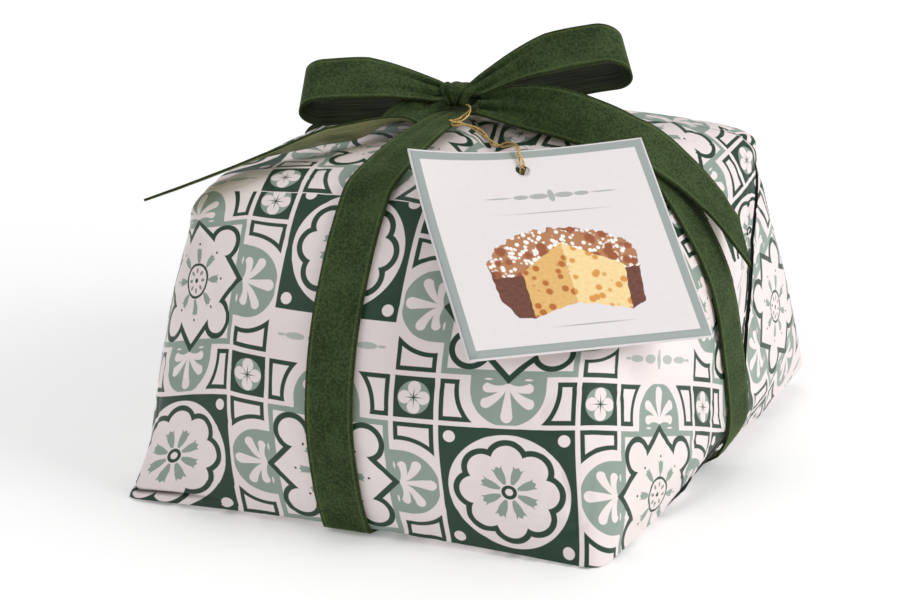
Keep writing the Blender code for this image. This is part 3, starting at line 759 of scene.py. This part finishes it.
def sole_point(column, inward):
    """A point of the underside: the paper rolls under, then lies flat to the middle, where inward is 1."""
    edge = bare[0][column]
    turned_in = SOLE_INSET + INSET_PER_LIFT * max(0.0, edge.z - RINGS[0].height)
    flat = Vector((edge.x, edge.y, 0))
    reach = 1 - turned_in / flat.length
    share = min(1.0, inward / ROLL)
    reach = 1 + (reach - 1) * share if inward <= ROLL else reach * (1 - (inward - ROLL) / (1 - ROLL))
    return Vector((flat.x * reach, flat.y * reach, edge.z + (SOLE_HEIGHT - edge.z) * share))


def skin_corner(column, row):
    """A point of the mesh: the sole's rows from its middle out, the rings' rows, and the top's middle."""
    column %= COLUMN_COUNT
    if row < SOLE_ROWS:
        return sole_point(column, 1 - row / SOLE_ROWS) * MM
    if row == TOP_ROW:
        return Vector((0, 0, RINGS[LAST_RING].height)) * MM
    return bare[row - SOLE_ROWS][column] * MM


# Dents and creases of the paper, all inward. The creases run where a noise crosses zero: the scale of each,
# its shift, half width and share of the depth. Their strength varies too.
DENT_DEPTH, DENT_SCALE = 1.1, 0.021
CREASE_DEPTH, LEAST_STRENGTH, STRENGTH_SCALE, STRENGTH_SHIFT = 0.75, 0.35, 0.017, (40, 0, 0)
CREASES = ((0.030, (0, 90, 0), 0.055, 1.0), (0.046, (70, 0, 20), 0.05, 0.7))
SMOOTH_SOLE, DENT_RISE = 0.3, 4               # none near the sole, and all of them this far above it
BASE_FOLD_HEIGHT, BASE_FOLD_SLOPE, BASE_FOLD_DEPTH, BASE_FOLD_HALF_WIDTH = 4.6, 0.06, 2.4, 0.9
# The base fold's last value is how strongly shade is painted into its crack.
BASE_FOLD_START, BASE_FOLD_RUN, BASE_FOLD_PAINTED_SHADE = (-62, -100), (30, 20), 0.9
FRONT_FOLDS = (          # straight creases on the front and right: ends in millimetres, depth, half width
    ((103, -127, 52), (113, -125, 8), 1.6, 1.6),
    ((92, -121, 100), (118, -116, 55), 0.9, 2.2),
    ((-98, -132, 66), (-106, -139, 12), 1.2, 1.8),
)


def crease_between(point, start, end, depth, half_width):
    """How deep a straight crease between two points is at a point."""
    start, end = Vector(start), Vector(end)
    share = clamp((point - start).dot(end - start) / (end - start).length_squared)
    return depth * bell((point - start.lerp(end, share)).length, half_width)


def base_fold(point):
    """The crack over the turned-in edge at the front left corner's foot: 1 in its middle."""
    near = [clamp((start - part) / run) for start, part, run in zip(BASE_FOLD_START, point, BASE_FOLD_RUN)]
    height = BASE_FOLD_HEIGHT + BASE_FOLD_SLOPE * (point.x + RINGS[0].left)
    return near[0] * near[1] * bell(point.z - height, BASE_FOLD_HALF_WIDTH)


def noise_at(point, scale, shift=(0, 0, 0)):
    return noise.noise(point * scale + Vector(shift))


def crumple(point):
    """How far the paper is dented at a point in millimetres."""
    if point.z < SOLE_HEIGHT + SMOOTH_SOLE:
        return 0.0
    strength = 0.5 + 0.5 * noise_at(point, STRENGTH_SCALE, STRENGTH_SHIFT)
    creases = sum(share * bell(noise_at(point, scale, shift), width)
                  for scale, shift, width, share in CREASES)
    depth = DENT_DEPTH * (0.5 + 0.5 * noise_at(point, DENT_SCALE))
    depth += CREASE_DEPTH * (LEAST_STRENGTH + (1 - LEAST_STRENGTH) * strength) * creases
    depth += sum(crease_between(point, *fold) for fold in FRONT_FOLDS) + BASE_FOLD_DEPTH * base_fold(point)
    return depth * min(1.0, (point.z - SOLE_HEIGHT) / DENT_RISE)


parcel_mesh = bmesh.new()
painted_shade_layer = parcel_mesh.verts.layers.float.new("gap")
cells = mapped_grid(parcel_mesh, COLUMN_COUNT, TOP_ROW, skin_corner)
print_layer = parcel_mesh.loops.layers.uv.new("print")
for face in parcel_mesh.faces:
    corners = [cells[loop.vert] for loop in face.loops]
    column, row = (min(places) for places in zip(*corners))
    region = region_of(column, max(0, row - SOLE_ROWS))
    for loop, (corner_column, corner_row) in zip(face.loops, corners):
        if row < SOLE_ROWS:
            loop[print_layer].uv = loop.vert.co.xy / CELL / MM
        elif corner_row == TOP_ROW:
            loop[print_layer].uv = top_place(loop.vert.co / MM)
        else:
            loop[print_layer].uv = print_place(corner_column, corner_row - SOLE_ROWS, region)
for vert, (column, row) in cells.items():
    if SOLE_ROWS <= row < TOP_ROW:
        # Painted shade, per vertex: the gaps beside the ears and the crack at the front left foot.
        vert[painted_shade_layer] = max(painted_gap_shade(column, row - SOLE_ROWS), BASE_FOLD_PAINTED_SHADE * base_fold(vert.co / MM))
weld(parcel_mesh, 0.01)
parcel_mesh.normal_update()
dents = [vert.co - vert.normal * crumple(vert.co / MM) * MM for vert in parcel_mesh.verts]
for vert, dented in zip(parcel_mesh.verts, dents):
    vert.co = dented
parcel = add_piece("paper_parcel", parcel_mesh, [paper])
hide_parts("wrapped_parcel")


# The ribbon: cut velvet outside and satin inside, with a woven edge and a line of ribs along both sides. It
# runs round the parcel both ways, crossed under it, and is tied in a bow on top.
RIBBON_WIDTH = 23.5 * MM
RIBBON_THICK = 1.2 * MM
RIBBON_CELLS = 24             # columns of the mesh across the ribbon
MIDDLE = RIBBON_CELLS // 2
ACROSS = [index / RIBBON_CELLS - 0.5 for index in range(RIBBON_CELLS + 1)]
SELVAGE, SELVAGE_HALF = 1.7, 0.42      # in millimetres: the ribbed line in from the edge, and half its width
RIB_LENGTH = 1.15
WAVE, WAVE_SCALE = 0.22 * MM, 55.0     # the cloth is uneven by this much, a part of it in a finer wave
FINE_SCALE, FINE_SHARE = 2.7, 0.3

velvet = Finish("green_velvet", {"Roughness": 0.85, "Specular IOR Level": 0.12, "Sheen Weight": 0.25,
                                 "Sheen Roughness": 0.35, "Sheen Tint": srgb(175, 190, 130)})
across, along = velvet.uv("ribbon")
from_edge = across.least(RIBBON_WIDTH / MM - across)
ribs = (along * (2 * pi / RIB_LENGTH)).sine() * 0.5 + 0.5
line = velvet.ramp(abs(from_edge - SELVAGE), -1 / SELVAGE_HALF, 1.4)
velvet_point = velvet.point()
nap = velvet.noise(velvet_point, 70, 3.0)
pile = velvet.noise(velvet_point, 850, 2.0)
crush = velvet.spread(nap * 0.35 + pile * 0.65, 0.39, 0.61)
green = velvet.mix(crush, srgb(38, 51, 28), srgb(64, 81, 47))
green = velvet.mix(line * (0.1 + 0.55 * ribs), green, srgb(100, 116, 70))
# Painted shade: the outermost edge of the ribbon is darkened in its colour.
rim = velvet.spread(from_edge, 0.25, 1.0, 0.65, 0.0)
velvet.set("Base Color", velvet.mix(rim, green, srgb(36, 44, 20)))
velvet.bump(pile * 0.6 + line * ribs * 0.8 - line * 0.3, 0.0005, 0.7)


def satin_finish(name, dark, light):
    """The ribbon's inner side: a plain cross weave, with streaks of painted sheen in its colour."""
    satin = Finish(name, {"Roughness": 0.5, "Specular IOR Level": 0.25})
    across, along = satin.uv("ribbon")
    weave = satin.noise(satin.joined(across * 0.9, along * 9.0), 1.0, 3.0)
    streaks = satin.noise(satin.joined(across * 0.7, along * 0.04), 1.0, 2.0)
    # Painted sheen: the weave's grain and long streaks along the ribbon are mixed into the colour as lighter
    # and darker bands.
    painted_sheen_streaks = satin.spread(weave * 0.35 + streaks * 0.65, 0.36, 0.64)
    satin.set("Base Color", satin.mix(painted_sheen_streaks, dark, light))
    satin.bump(weave * 0.3 + streaks, 0.0008, 0.6)
    return satin


satin = satin_finish("olive_satin", srgb(112, 122, 76), srgb(186, 190, 138))
# A darkened copy of the satin for the inside of the bow's loops: painted shade.
satin_painted_shade = satin_finish("satin_painted_shade", srgb(24, 31, 15), srgb(46, 58, 28))


def set_uv(made, name, cells, place_at):
    """Gives the corners of a grid their place_at(column, row) in a UV map."""
    layer = made.loops.layers.uv.get(name) or made.loops.layers.uv.new(name)
    for vert, cell in cells.items():
        for loop in vert.link_loops:
            loop[layer].uv = place_at(*cell)


def add_strip(made, rows, velvet_side):
    """Adds a grid through rows of points across the ribbon, with its places in millimetres as the UV map
    "ribbon"; the velvet looks to velvet_side where the strip starts. Returns its length."""
    ahead, over = rows[1][MIDDLE] - rows[0][MIDDLE], rows[0][-1] - rows[0][0]
    if over.cross(ahead).dot(velvet_side) < 0:
        rows = [row[::-1] for row in rows]
    lengths = [0.0]
    for first, second in zip(rows, rows[1:]):
        lengths.append(lengths[-1] + (second[MIDDLE] - first[MIDDLE]).length / MM)
    cells = mapped_grid(made, RIBBON_CELLS, len(rows) - 1, lambda column, row: rows[row][column])
    width = RIBBON_WIDTH / MM
    set_uv(made, "ribbon", cells, lambda column, row: (width * column / RIBBON_CELLS, lengths[row]))
    return lengths[-1] * MM


def thicken(piece, thickness):
    solid = piece.modifiers.new("thickness", "SOLIDIFY")
    solid.thickness = thickness
    solid.offset = 0.0
    return solid


def add_ribbon(name, made, node, inner=satin):
    """A piece of ribbon: the strips get their thickness, with satin on the inner side."""
    piece = add_piece(name, made, [velvet, inner])
    thicken(piece, RIBBON_THICK).material_offset = 1
    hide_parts(node)
    return piece


def uneven_row(middle, over, off, folds_at, wave=WAVE, scale=WAVE_SCALE):
    """A row of points across the ribbon, moved off it by folds_at(spot) and by the cloth's small wave."""
    row = []
    for spot in ACROSS:
        point = middle + over * spot
        broad, fine = noise_at(point, scale), noise_at(point, scale * FINE_SCALE)
        row.append(point + off * (wave * (broad + FINE_SHARE * (fine - broad)) + folds_at(spot)))
    return row


# The bands: four legs that climb the sides over the paper, and rise to the knot on the top.
GAP = 0.5 * MM
BAND_CROSSING = Vector((1, 2, 0)) * MM
BAND_PAD, BAND_PAD_WIDTH = Vector((-4, -8, 168.3)) * MM, 11 * MM
FLAT_SHARES, FLAT_LAST = (0.35, 0.6), 3 * MM           # where the rows under the parcel lie
LEG_TOP_LEVEL, LEG_ROWS = 23 / 3, 150
LIFT_OFF_LEVEL, LIFT_ARCH, SLACK = 5.67, 3 * MM, 1.4 * MM
LEG_DRIFT, DRIFT_LEVEL, DRIFT_BAND = 2.0 * MM, 1.2, 1.6        # the right leg leans back towards its foot,
FOOT_NARROWING, FOOT_TOP = 0.6, 0.9                    # where it is drawn together as it goes under
FOOT_TURN = 1.6               # the first row of a leg is turned down
GATHER = 3.25 * MM            # the folds of the ribbon where it is drawn together at the knot
DOWN, UP = Vector((0, 0, -1)), Vector((0, 0, 1))
NEARBY = 0.02                 # the step at which directions are measured


def skin_over(side, along, level):
    """The direction along the parcel's side."""
    return parcel_point(side, along + NEARBY, level) - parcel_point(side, along - NEARBY, level)


def skin_normal(side, along, level):
    """The outward direction of the parcel's skin."""
    upward = parcel_point(side, along, level + NEARBY) - parcel_point(side, along, max(0.0, level - NEARBY))
    return skin_over(side, along, level).cross(upward).normalized()


def leg_rows(side):
    """Rows of a ribbon leg on one side, from under the parcel's middle up to the pad under the knot."""
    outward = Vector((*OUTWARD[side], 0))
    over = Vector((-outward.y, outward.x, 0))
    axis = 0 if side in (FRONT, BACK) else 1

    def along_at(level):
        start, end = (ring_corners(ring_at(level))[(side + step) % 4][axis] for step in (0, 1))
        return (BAND_CROSSING[axis] / MM - start) / (end - start)

    edge = (parcel_point(side, along_at(0), 0) - BAND_CROSSING).dot(outward)
    flat_end = edge - SOLE_INSET * MM
    rows = []
    for reach in (RIBBON_WIDTH / 2, *(share * edge for share in FLAT_SHARES), flat_end - FLAT_LAST, flat_end):
        middle = BAND_CROSSING + outward * reach + UP * RIBBON_THICK / 2
        rows.append([middle + over * RIBBON_WIDTH * spot for spot in ACROSS])
    pad_edge = BAND_PAD + outward * BAND_PAD_WIDTH / 2
    for index in range(LEG_ROWS + 1):
        level = LEG_TOP_LEVEL * index / LEG_ROWS
        rise = max(0.0, (level - LIFT_OFF_LEVEL) / (LEG_TOP_LEVEL - LIFT_OFF_LEVEL)) ** 1.5
        place = along_at(level)
        off = skin_normal(side, place, level)
        if index == 0:
            off = (off + DOWN) / FOOT_TURN
        loose = SLACK * clamp(level - LIFT_OFF_LEVEL + 1)
        middle = parcel_point(side, place, level) + off * (GAP + loose + RIBBON_THICK / 2)
        foot = fade(level, FOOT_TOP) if side == RIGHT else 0.0
        if side == RIGHT:
            middle += over * LEG_DRIFT * fade(max(0.0, level - DRIFT_LEVEL), DRIFT_BAND)
        middle.z += LIFT_ARCH * 4 * rise * (1 - rise)
        middle = middle.lerp(pad_edge, rise)
        direction = skin_over(side, place, level).normalized().lerp(over, min(1, 2 * rise)).normalized()
        width = RIBBON_WIDTH * (1 - FOOT_NARROWING * foot) + (BAND_PAD_WIDTH - RIBBON_WIDTH) * rise
        folds = GATHER * rise * (1 - rise)
        rows.append(uneven_row(middle, direction * width, off,
                               lambda spot: folds * (0.5 + 0.5 * cos(5 * pi * spot))))
    return rows


def square_rows(centre, width):
    """Rows of the square where the legs meet."""
    return [[centre + Vector((x, y, 0)) * width for x in ACROSS] for y in ACROSS]


bands_mesh = bmesh.new()
leg_lengths = [add_strip(bands_mesh, leg_rows(side), DOWN) for side in range(4)]
add_strip(bands_mesh, square_rows(BAND_CROSSING + UP * RIBBON_THICK / 2, RIBBON_WIDTH), DOWN)
add_strip(bands_mesh, square_rows(BAND_PAD, BAND_PAD_WIDTH), UP)
bmesh.ops.remove_doubles(bands_mesh, verts=bands_mesh.verts, dist=0.05 * MM)
band_run = 2 * (leg_lengths[FRONT] + leg_lengths[RIGHT])
bands = add_ribbon("velvet_bands", bands_mesh, "ribbon_bands")


# The loops of the bow: each leaves the knot in folds, turns over and comes back below.
Loop = namedtuple("Loop", "reach rise across length gap arch")
LEFT_LOOP = Loop(Vector((-0.95, -0.31, -0.01)), Vector((0.30, -0.60, 0.74)), Vector((-0.22, 0.70, 0.68)),
                 66 * MM, 21 * MM, 2 * MM)
RIGHT_LOOP = Loop(Vector((0.94, 0.24, 0.26)), Vector((0.02, -0.60, 0.76)), Vector((-0.50, 0.62, 0.60)),
                  71 * MM, 20 * MM, 2.5 * MM)
KNOT_CENTRE = Vector((-4, -8, 176)) * MM
KNOT_SIZE = Vector((16, 15, 13)) * MM
LOOP_ROOT_WIDTH, LOOP_ROOT_GAP, LOOP_STAND_OFF = 12 * MM, 6 * MM, 1.2 * MM
OPEN_REACH, WIDE_REACH = 0.75, 0.6            # how far out the loop is open, and has its full width
LOOP_ROWS = 150
PLEAT_DEPTH = 4.0 * MM        # the folds at the knot
LOOP_PLEATS = ((0.27, 0.075, 1.0), (-0.2, 0.09, 0.6))     # place across, half width, share of the depth
PLEAT_REACH, LOWER_PLEATS = 0.55, -0.5        # how far out they run, and their share on the lower run
LOOP_TUCK = 6.5 * MM          # the loops go this far into the knot, and come together there
TUCK_CLOSING, TUCK_NARROWING = 0.6, 0.4
LOOP_WAVE, LOOP_WAVE_SCALE = 1.6 * WAVE, 40


def pleat_at(spot):
    """How deep the loops' pleats are at a spot across the ribbon, as a share."""
    return sum(share * bell(spot - place, half_width) for place, half_width, share in LOOP_PLEATS)


def loop_rows(loop):
    """Rows of points across a bow loop: the upper run, the round end and the lower run."""
    reach, over = loop.reach.normalized(), loop.across.normalized()
    up = (loop.rise - reach * loop.rise.dot(reach)).normalized()
    root = KNOT_CENTRE + reach * (KNOT_SIZE.x / 2 + LOOP_STAND_OFF + abs(over.x) * LOOP_ROOT_WIDTH / 2)
    radius = loop.gap / 2
    run = loop.length - radius
    total = 2 * run + pi * radius + 2 * LOOP_TUCK
    rows = []
    for step in range(LOOP_ROWS + 1):
        travelled = total * step / LOOP_ROWS - LOOP_TUCK
        to_root = min(travelled, total - 2 * LOOP_TUCK - travelled)
        lower = travelled > total / 2 - LOOP_TUCK
        tucked = clamp(-to_root / LOOP_TUCK)
        if to_root < run:
            out = to_root
            opening = sin(pi / 2 * clamp(to_root / run / OPEN_REACH))
            height = LOOP_ROOT_GAP / 2 * (1 - TUCK_CLOSING * tucked) + (radius - LOOP_ROOT_GAP / 2) * opening
            height = -height if lower else height
        else:
            turn = (travelled - run) / radius
            out, height = run + radius * sin(turn), radius * cos(turn)
        width = LOOP_ROOT_WIDTH + (RIBBON_WIDTH - LOOP_ROOT_WIDTH) * clamp(out / run / WIDE_REACH)
        width *= 1 - TUCK_NARROWING * tucked
        arch = loop.arch * sin(pi * max(0.0, out) / loop.length)
        middle = root + reach * out + up * height + UP * arch
        folded = clamp(1 - out / loop.length / PLEAT_REACH) * (1 - tucked)
        folds = folded ** 1.5 * PLEAT_DEPTH * (LOWER_PLEATS if lower else 1.0)
        rows.append(uneven_row(middle, over * width, up, lambda spot: -folds * pleat_at(spot),
                               LOOP_WAVE, LOOP_WAVE_SCALE))
    return rows


for name, node, loop in (("velvet_loop_left", "bow_loop_left", LEFT_LOOP),
                         ("velvet_loop_right", "bow_loop_right", RIGHT_LOOP)):
    loop_mesh = bmesh.new()
    length = add_strip(loop_mesh, loop_rows(loop), loop.rise)
    bow_loop = add_ribbon(name, loop_mesh, node, satin_painted_shade)


# The knot: the ribbon drawn together and wrapped once round the roots of the loops, in soft upright folds.
KNOT_COLUMNS, KNOT_ROWS = 60, 96
KNOT_FOLDS = ((0.2, 0.06, 2.0), (0.8, 0.07, 2.0), (0.48, 0.06, 0.3))     # place, half width, depth in mm
KNOT_SIDES = 2.0 * MM         # the wrap bulges out beyond the block on both sides,
KNOT_DRAWN, KNOT_DRAWN_AT = 0.5, radians(240)          # and is drawn together low on the front
KNOT_BLUNTNESS, KNOT_FLATNESS = 9, 0.12
# In millimetres of ribbon: the part of its width that is tucked in, the part that is seen, and the way round.
KNOT_TUCKED, KNOT_SEEN, KNOT_GIRTH = 3.5, 16.5, 44.0


def knot_point(column, row):
    """A point of the knot: columns run across it, rows round it."""
    over, angle = column / KNOT_COLUMNS, 2 * pi * row / KNOT_ROWS
    drawn = 1 - KNOT_DRAWN * (0.5 + 0.5 * cos(angle - KNOT_DRAWN_AT)) ** 2
    bulge = fade(abs(2 * over - 1) ** KNOT_BLUNTNESS) ** 0.5
    folds = sum(depth * bell(over - 0.5 - (place - 0.5) * drawn, half) for place, half, depth in KNOT_FOLDS)
    inward = folds * MM * min(1.0, 3 * bulge) * bulge
    size = (1 - KNOT_FLATNESS * cos(2 * angle) ** 2) * bulge
    return KNOT_CENTRE + Vector(((2 * over - 1) * (KNOT_SIZE.x / 2 + KNOT_SIDES) * drawn,
                                 cos(angle) * (KNOT_SIZE.y / 2 * size - inward),
                                 sin(angle) * (KNOT_SIZE.z / 2 * size - inward)))


knot_mesh = bmesh.new()
cells = mapped_grid(knot_mesh, KNOT_COLUMNS, KNOT_ROWS, knot_point)
set_uv(knot_mesh, "ribbon", cells, lambda column, row: (KNOT_TUCKED + KNOT_SEEN * column / KNOT_COLUMNS,
                                                        KNOT_GIRTH * row / KNOT_ROWS))
weld(knot_mesh, 0.02)
knot = add_piece("velvet_knot", knot_mesh, [velvet])
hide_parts("bow_knot")


# The tails: they leave the knot gathered. The left one turns over, satin side up, and ends edge on.
LEFT_TAIL = (
    ((-9.0, -11.0, 175.2), (0.30, -0.60, -0.74), 10),
    ((-15.5, -15.0, 172.8), (0.48, -0.62, -0.62), 13),
    ((-19.0, -22.0, 170.8), (0.58, -0.66, -0.48), 18),
    ((-21.8, -30.8, 168.9), (0.56, -0.80, -0.20), 22),
    ((-25.6, -41.1, 168.0), (0.46, -0.84, 0.31), 23.5),
    ((-33.1, -52.8, 166.7), (0.38, -0.77, 0.51), 23.5),
    ((-41.1, -62.2, 166.0), (0.38, -0.77, 0.51), 23.5),
    ((-47.2, -69.4, 165.2), (0.39, -0.80, 0.46), 23.5),
    ((-60.8, -89.5, 161.6), (0.49, -0.82, 0.30), 23.5),
    ((-70.3, -101.5, 158.0), (0.53, -0.81, 0.27), 23.5),
    ((-84.6, -114.2, 152.3), (0.54, -0.80, 0.27), 23.5),
    ((-97.6, -123.0, 147.2), (0.55, -0.79, 0.27), 23.5),
    ((-104.6, -127.6, 144.6), (0.55, -0.79, 0.27), 23.5),
)
RIGHT_TAIL = (
    ((8.5, -11.5, 173.4), (0.33, -0.67, -0.67), 12),
    ((20.5, -11.5, 174.1), (0.17, -0.53, -0.83), 17),
    ((36.9, -12.8, 174.2), (0.02, -0.43, -0.90), 22),
    ((51.8, -14.5, 173.5), (-0.11, -0.40, -0.91), 23.5),
    ((68.5, -14.3, 169.9), (-0.09, -0.56, -0.82), 23.5),
    ((85.7, -10.0, 164.2), (0.06, -0.83, -0.56), 23.5),
    ((94.3, -1.0, 156.8), (0.00, -0.92, -0.40), 23.5),
    ((104.2, 9.5, 144.5), (0.01, -0.97, -0.25), 23.5),
    ((114.2, 15.9, 132.0), (0.02, -0.99, -0.15), 23.5),
    ((121.2, 17.7, 123.4), (0.04, -1.00, -0.05), 23.5),
    ((129.1, 18.3, 113.3), (0.07, -1.00, 0.00), 23.5),
    ((137.1, 19.8, 102.5), (0.08, -1.00, 0.00), 23.5),
)
LEFT_CUT, RIGHT_CUT, CUT_START = 12 * MM, 20 * MM, 0.6         # how slanted the ends are cut
TAIL_FOLDS, TAIL_FOLDS_REACH = 1.9 * MM, 0.3
TAIL_ROWS = 130


def tail_rows(stops, cut):
    """Rows across a tail, through its stops, slanted to its cut end."""
    points, directions = ([Vector(stop[part]) for stop in stops] for part in (0, 1))
    rows = []
    for step in range(TAIL_ROWS + 1):
        place = step / TAIL_ROWS
        before, middle, after = (spline_through(points, clamp(place + nudge)) * MM
                                 for nudge in (-NEARBY, 0, NEARBY))
        ahead = (after - before).normalized()
        over = spline_through([direction.normalized() for direction in directions], place)
        over = (over - ahead * over.dot(ahead)).normalized()
        width = spline_through([stop[2] for stop in stops], place) * MM
        slant = cut * max(0.0, place - CUT_START) / (1 - CUT_START)
        folds = TAIL_FOLDS * fade(place, TAIL_FOLDS_REACH) ** 1.5
        rows.append(uneven_row(middle - ahead * slant / 2, over * width + ahead * slant, over.cross(ahead),
                               lambda spot: folds * cos(5 * pi * spot)))
    return rows


for name, node, stops, cut in (("velvet_tail_left", "ribbon_tail_left", LEFT_TAIL, LEFT_CUT),
                               ("velvet_tail_right", "ribbon_tail_right", RIGHT_TAIL, RIGHT_CUT)):
    tail_mesh = bmesh.new()
    length = add_strip(tail_mesh, tail_rows(stops, cut), to_camera)
    tail = add_ribbon(name, tail_mesh, node)


# The tag: a square of printed card with a hole near its top edge, hung by the cord and leaning on the bow's
# right tail. It is printed with a border, a plain ornament and the figure of a cake.
TAG_SIDE_STEPS, TAG_RING_STEPS, RING_CROWDING = 24, 26, 1.3
TAG_BORDER, TAG_BORDER_HALF = 2.7, 2.0        # in millimetres: the way in from the edge, half the width
TAG_LENGTHS = (TAG_ALONG.length / MM, TAG_DOWN.length / MM)
# A plain ornament of leaves and lines where the card has its headings: middles and half sizes of ovals.
ORNAMENT = ((37, 27, 6, 0.4), (47.5, 27, 3.6, 1.2), (56, 27, 4.5, 1.5), (62, 27, 1.6, 3.4),
            (68, 27, 4.5, 1.5), (76.5, 27, 3.6, 1.2), (87, 27, 6, 0.4),
            (62, 36, 21, 0.28), (62, 96, 16, 0.35))
# The cake: its dome, whose oval is cut off below, the two sides of the slice and the two parts of the case.
DOME, DOME_FOOT = (57.5, 64, 35.5, 19), 69
SLICE_LEFT = ((36.5, 67), (58.5, 53), (57.5, 84.5), (36, 90.5))
SLICE_RIGHT = ((58.5, 53), (84.5, 67), (81.5, 90), (57.5, 84.5))
CASE_LEFT = ((21.5, 62), (45, 62), (45, 84), (36, 91), (28.5, 89.5), (23, 80.5))
CASE_RIGHT = ((75, 64), (92, 64), (88.5, 87), (81.5, 90.5), (75, 84))
WAVE_SIZE, SMALL_WAVES = 5, 0.3               # how far the outline of the dome wavers, and the others' share


def tag_place(column, ring):
    """Where a point of the tag's mesh lies along and down the card: rings run from the hole to the edge."""
    side, step = divmod(column % (4 * TAG_SIDE_STEPS), TAG_SIDE_STEPS)
    share = step / TAG_SIDE_STEPS
    edge = ((share, 0), (1, share), (1 - share, 1), (0, 1 - share))[side]
    span = [(edge[axis] - TAG_HOLE[axis]) * TAG_LENGTHS[axis] for axis in (0, 1)]
    start = TAG_HOLE_RADIUS / MM / hypot(*span)
    reach = start + (1 - start) * (ring / TAG_RING_STEPS) ** RING_CROWDING
    return [TAG_HOLE[axis] + (edge[axis] - TAG_HOLE[axis]) * reach for axis in (0, 1)]


card = Finish("tag_card", {"Roughness": 0.48, "Specular IOR Level": 0.35})
along, down = card.uv("card")
from_edge = along.least(TAG_LENGTHS[0] - along)
from_edge = from_edge.least(down.least(TAG_LENGTHS[1] - down))


def cover(distance, blur=0.25):
    """1 inside an outline on the card, where the distance to it is negative."""
    return card.ramp(distance, -1 / blur, 0.5)


def oval(x, y, width, height):
    """How far outside an oval a place on the card is, in about millimetres."""
    return (card.reach((along - x) / width, (down - y) / height) - 1) * min(width, height)


def polygon(corners):
    """How far outside a convex outline a place is; the corners run clockwise as seen on the card."""
    sides = []
    for (x1, y1), (x2, y2) in zip(corners, corners[1:] + corners[:1]):
        length = hypot(x2 - x1, y2 - y1)
        sides.append((along - x1) * ((y2 - y1) / length) - (down - y1) * ((x2 - x1) / length))
    return reduce(Socket.most, sides)


card_point = card.joined(along, down)
fibre = card.noise(card_point, 0.35, 4.0)
colour = card.mix(fibre, srgb(219, 213, 214), srgb(226, 221, 221))
border = cover(abs(from_edge - TAG_BORDER) - TAG_BORDER_HALF)
colour = card.mix(border, colour, srgb(152, 160, 157))
grain = card.noise(card_point, 0.55, 2.0)
waves = (card.noise(card_point, 0.22, 1.0) - 0.5) * WAVE_SIZE


def dots(scale, size):
    """Scattered round dots: a share of 1 inside them."""
    nearest = card.node("TexVoronoi", None, {"Vector": card_point, "Scale": scale})
    return cover(nearest - size, 0.12)


case = polygon(CASE_LEFT).least(polygon(CASE_RIGHT)) + waves * SMALL_WAVES
dome = (oval(*DOME) + waves).most(down - DOME_FOOT - waves)
fruit, nuts, sugar = dots(0.2, 0.34), dots(0.17, 0.42), dots(0.42, 0.44)
topping = card.mix(sugar, srgb(176, 122, 84), srgb(246, 240, 234))
crumb = card.mix(grain, srgb(206, 158, 88), srgb(232, 192, 124))
light_crumb = card.mix(grain, srgb(228, 196, 134), srgb(244, 222, 168))
for outline, ink in (
        (case, card.mix(grain, srgb(70, 38, 32), srgb(132, 80, 62))),
        (dome, card.mix(nuts, topping, srgb(150, 84, 50))),
        (polygon(SLICE_LEFT) + waves * SMALL_WAVES, card.mix(fruit, crumb, srgb(176, 104, 44))),
        (polygon(SLICE_RIGHT) + waves * SMALL_WAVES, card.mix(fruit, light_crumb, srgb(214, 146, 70)))):
    colour = card.mix(cover(outline), colour, ink)
ornament = reduce(Socket.least, (oval(*leaf) for leaf in ORNAMENT))
card.set("Base Color", card.mix(cover(ornament), colour, srgb(168, 171, 168)))

tag_mesh = bmesh.new()
cells = mapped_grid(tag_mesh, 4 * TAG_SIDE_STEPS, TAG_RING_STEPS, lambda *cell: tag_point(*tag_place(*cell)))
set_uv(tag_mesh, "card", cells, lambda *cell: [place * length for place, length in
                                               zip(tag_place(*cell), TAG_LENGTHS)])
weld(tag_mesh, 0.01)
tag = add_piece("card_tag", tag_mesh, [card])
thicken(tag, TAG_THICK)
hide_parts("gift_tag")


# Soft studio light from above and both sides, and a pale floor which glows with painted light, dim near the
# parcel and brighter far from it. A light has a place, an aim, a size and a power.
LIGHTS = {
    "key_light": ((1.7, -0.1, 0.95), (0, 0, 0.08), 1.2, 19.5),
    "fill_light": ((-1.0, -1.3, 1.1), (0, 0, 0.08), 1.3, 4.5),
    "top_light": ((-0.1, 0.3, 1.9), (0, 0, 0.1), 1.5, 7),
}
WORLD_STRENGTH = 0.46
FLOOR_SIZE = 12

for name, (place, aim, size, power) in LIGHTS.items():
    light = bpy.data.objects.new(name, bpy.data.lights.new(name, "AREA"))
    light.data.shape = "DISK"
    light.data.size = size
    light.data.energy = power
    light.location = place
    light.rotation_euler = (Vector(aim) - Vector(place)).to_track_quat("-Z", "Y").to_euler()
    bpy.context.scene.collection.objects.link(light)

world = bpy.data.worlds.new("studio")
world.use_nodes = True
sky = world.node_tree.nodes["Background"].inputs
sky["Color"].default_value = (1, 1, 1, 1)
sky["Strength"].default_value = WORLD_STRENGTH
bpy.context.scene.world = world
bpy.context.scene.view_settings.view_transform = "Standard"

floor_mesh = bmesh.new()
bmesh.ops.create_grid(floor_mesh, x_segments=2, y_segments=2, size=FLOOR_SIZE / 2)
floor_data = bpy.data.meshes.new("floor")
floor_mesh.to_mesh(floor_data)
floor_mesh.free()
floor = bpy.data.objects.new("floor", floor_data)
bpy.context.scene.collection.objects.link(floor)
floor_painted_glow = Finish("floor_painted_glow", {"Roughness": 0.7, "Base Color": srgb(250, 250, 250),
                                 "Emission Strength": 1.0})
# Painted light: the floor glows, dimly near the parcel and brighter far from it, so it turns white beyond the
# lamps' reach.
from_middle = floor_painted_glow.node("VectorMath", {"operation": "LENGTH"}, {0: floor_painted_glow.point()}, 1)
lift = floor_painted_glow.spread(from_middle, 0.2, 2.0, 0.18, 0.6)
floor_painted_glow.set("Emission Color", floor_painted_glow.joined(lift, lift, lift))
floor_data.materials.append(floor_painted_glow.material)
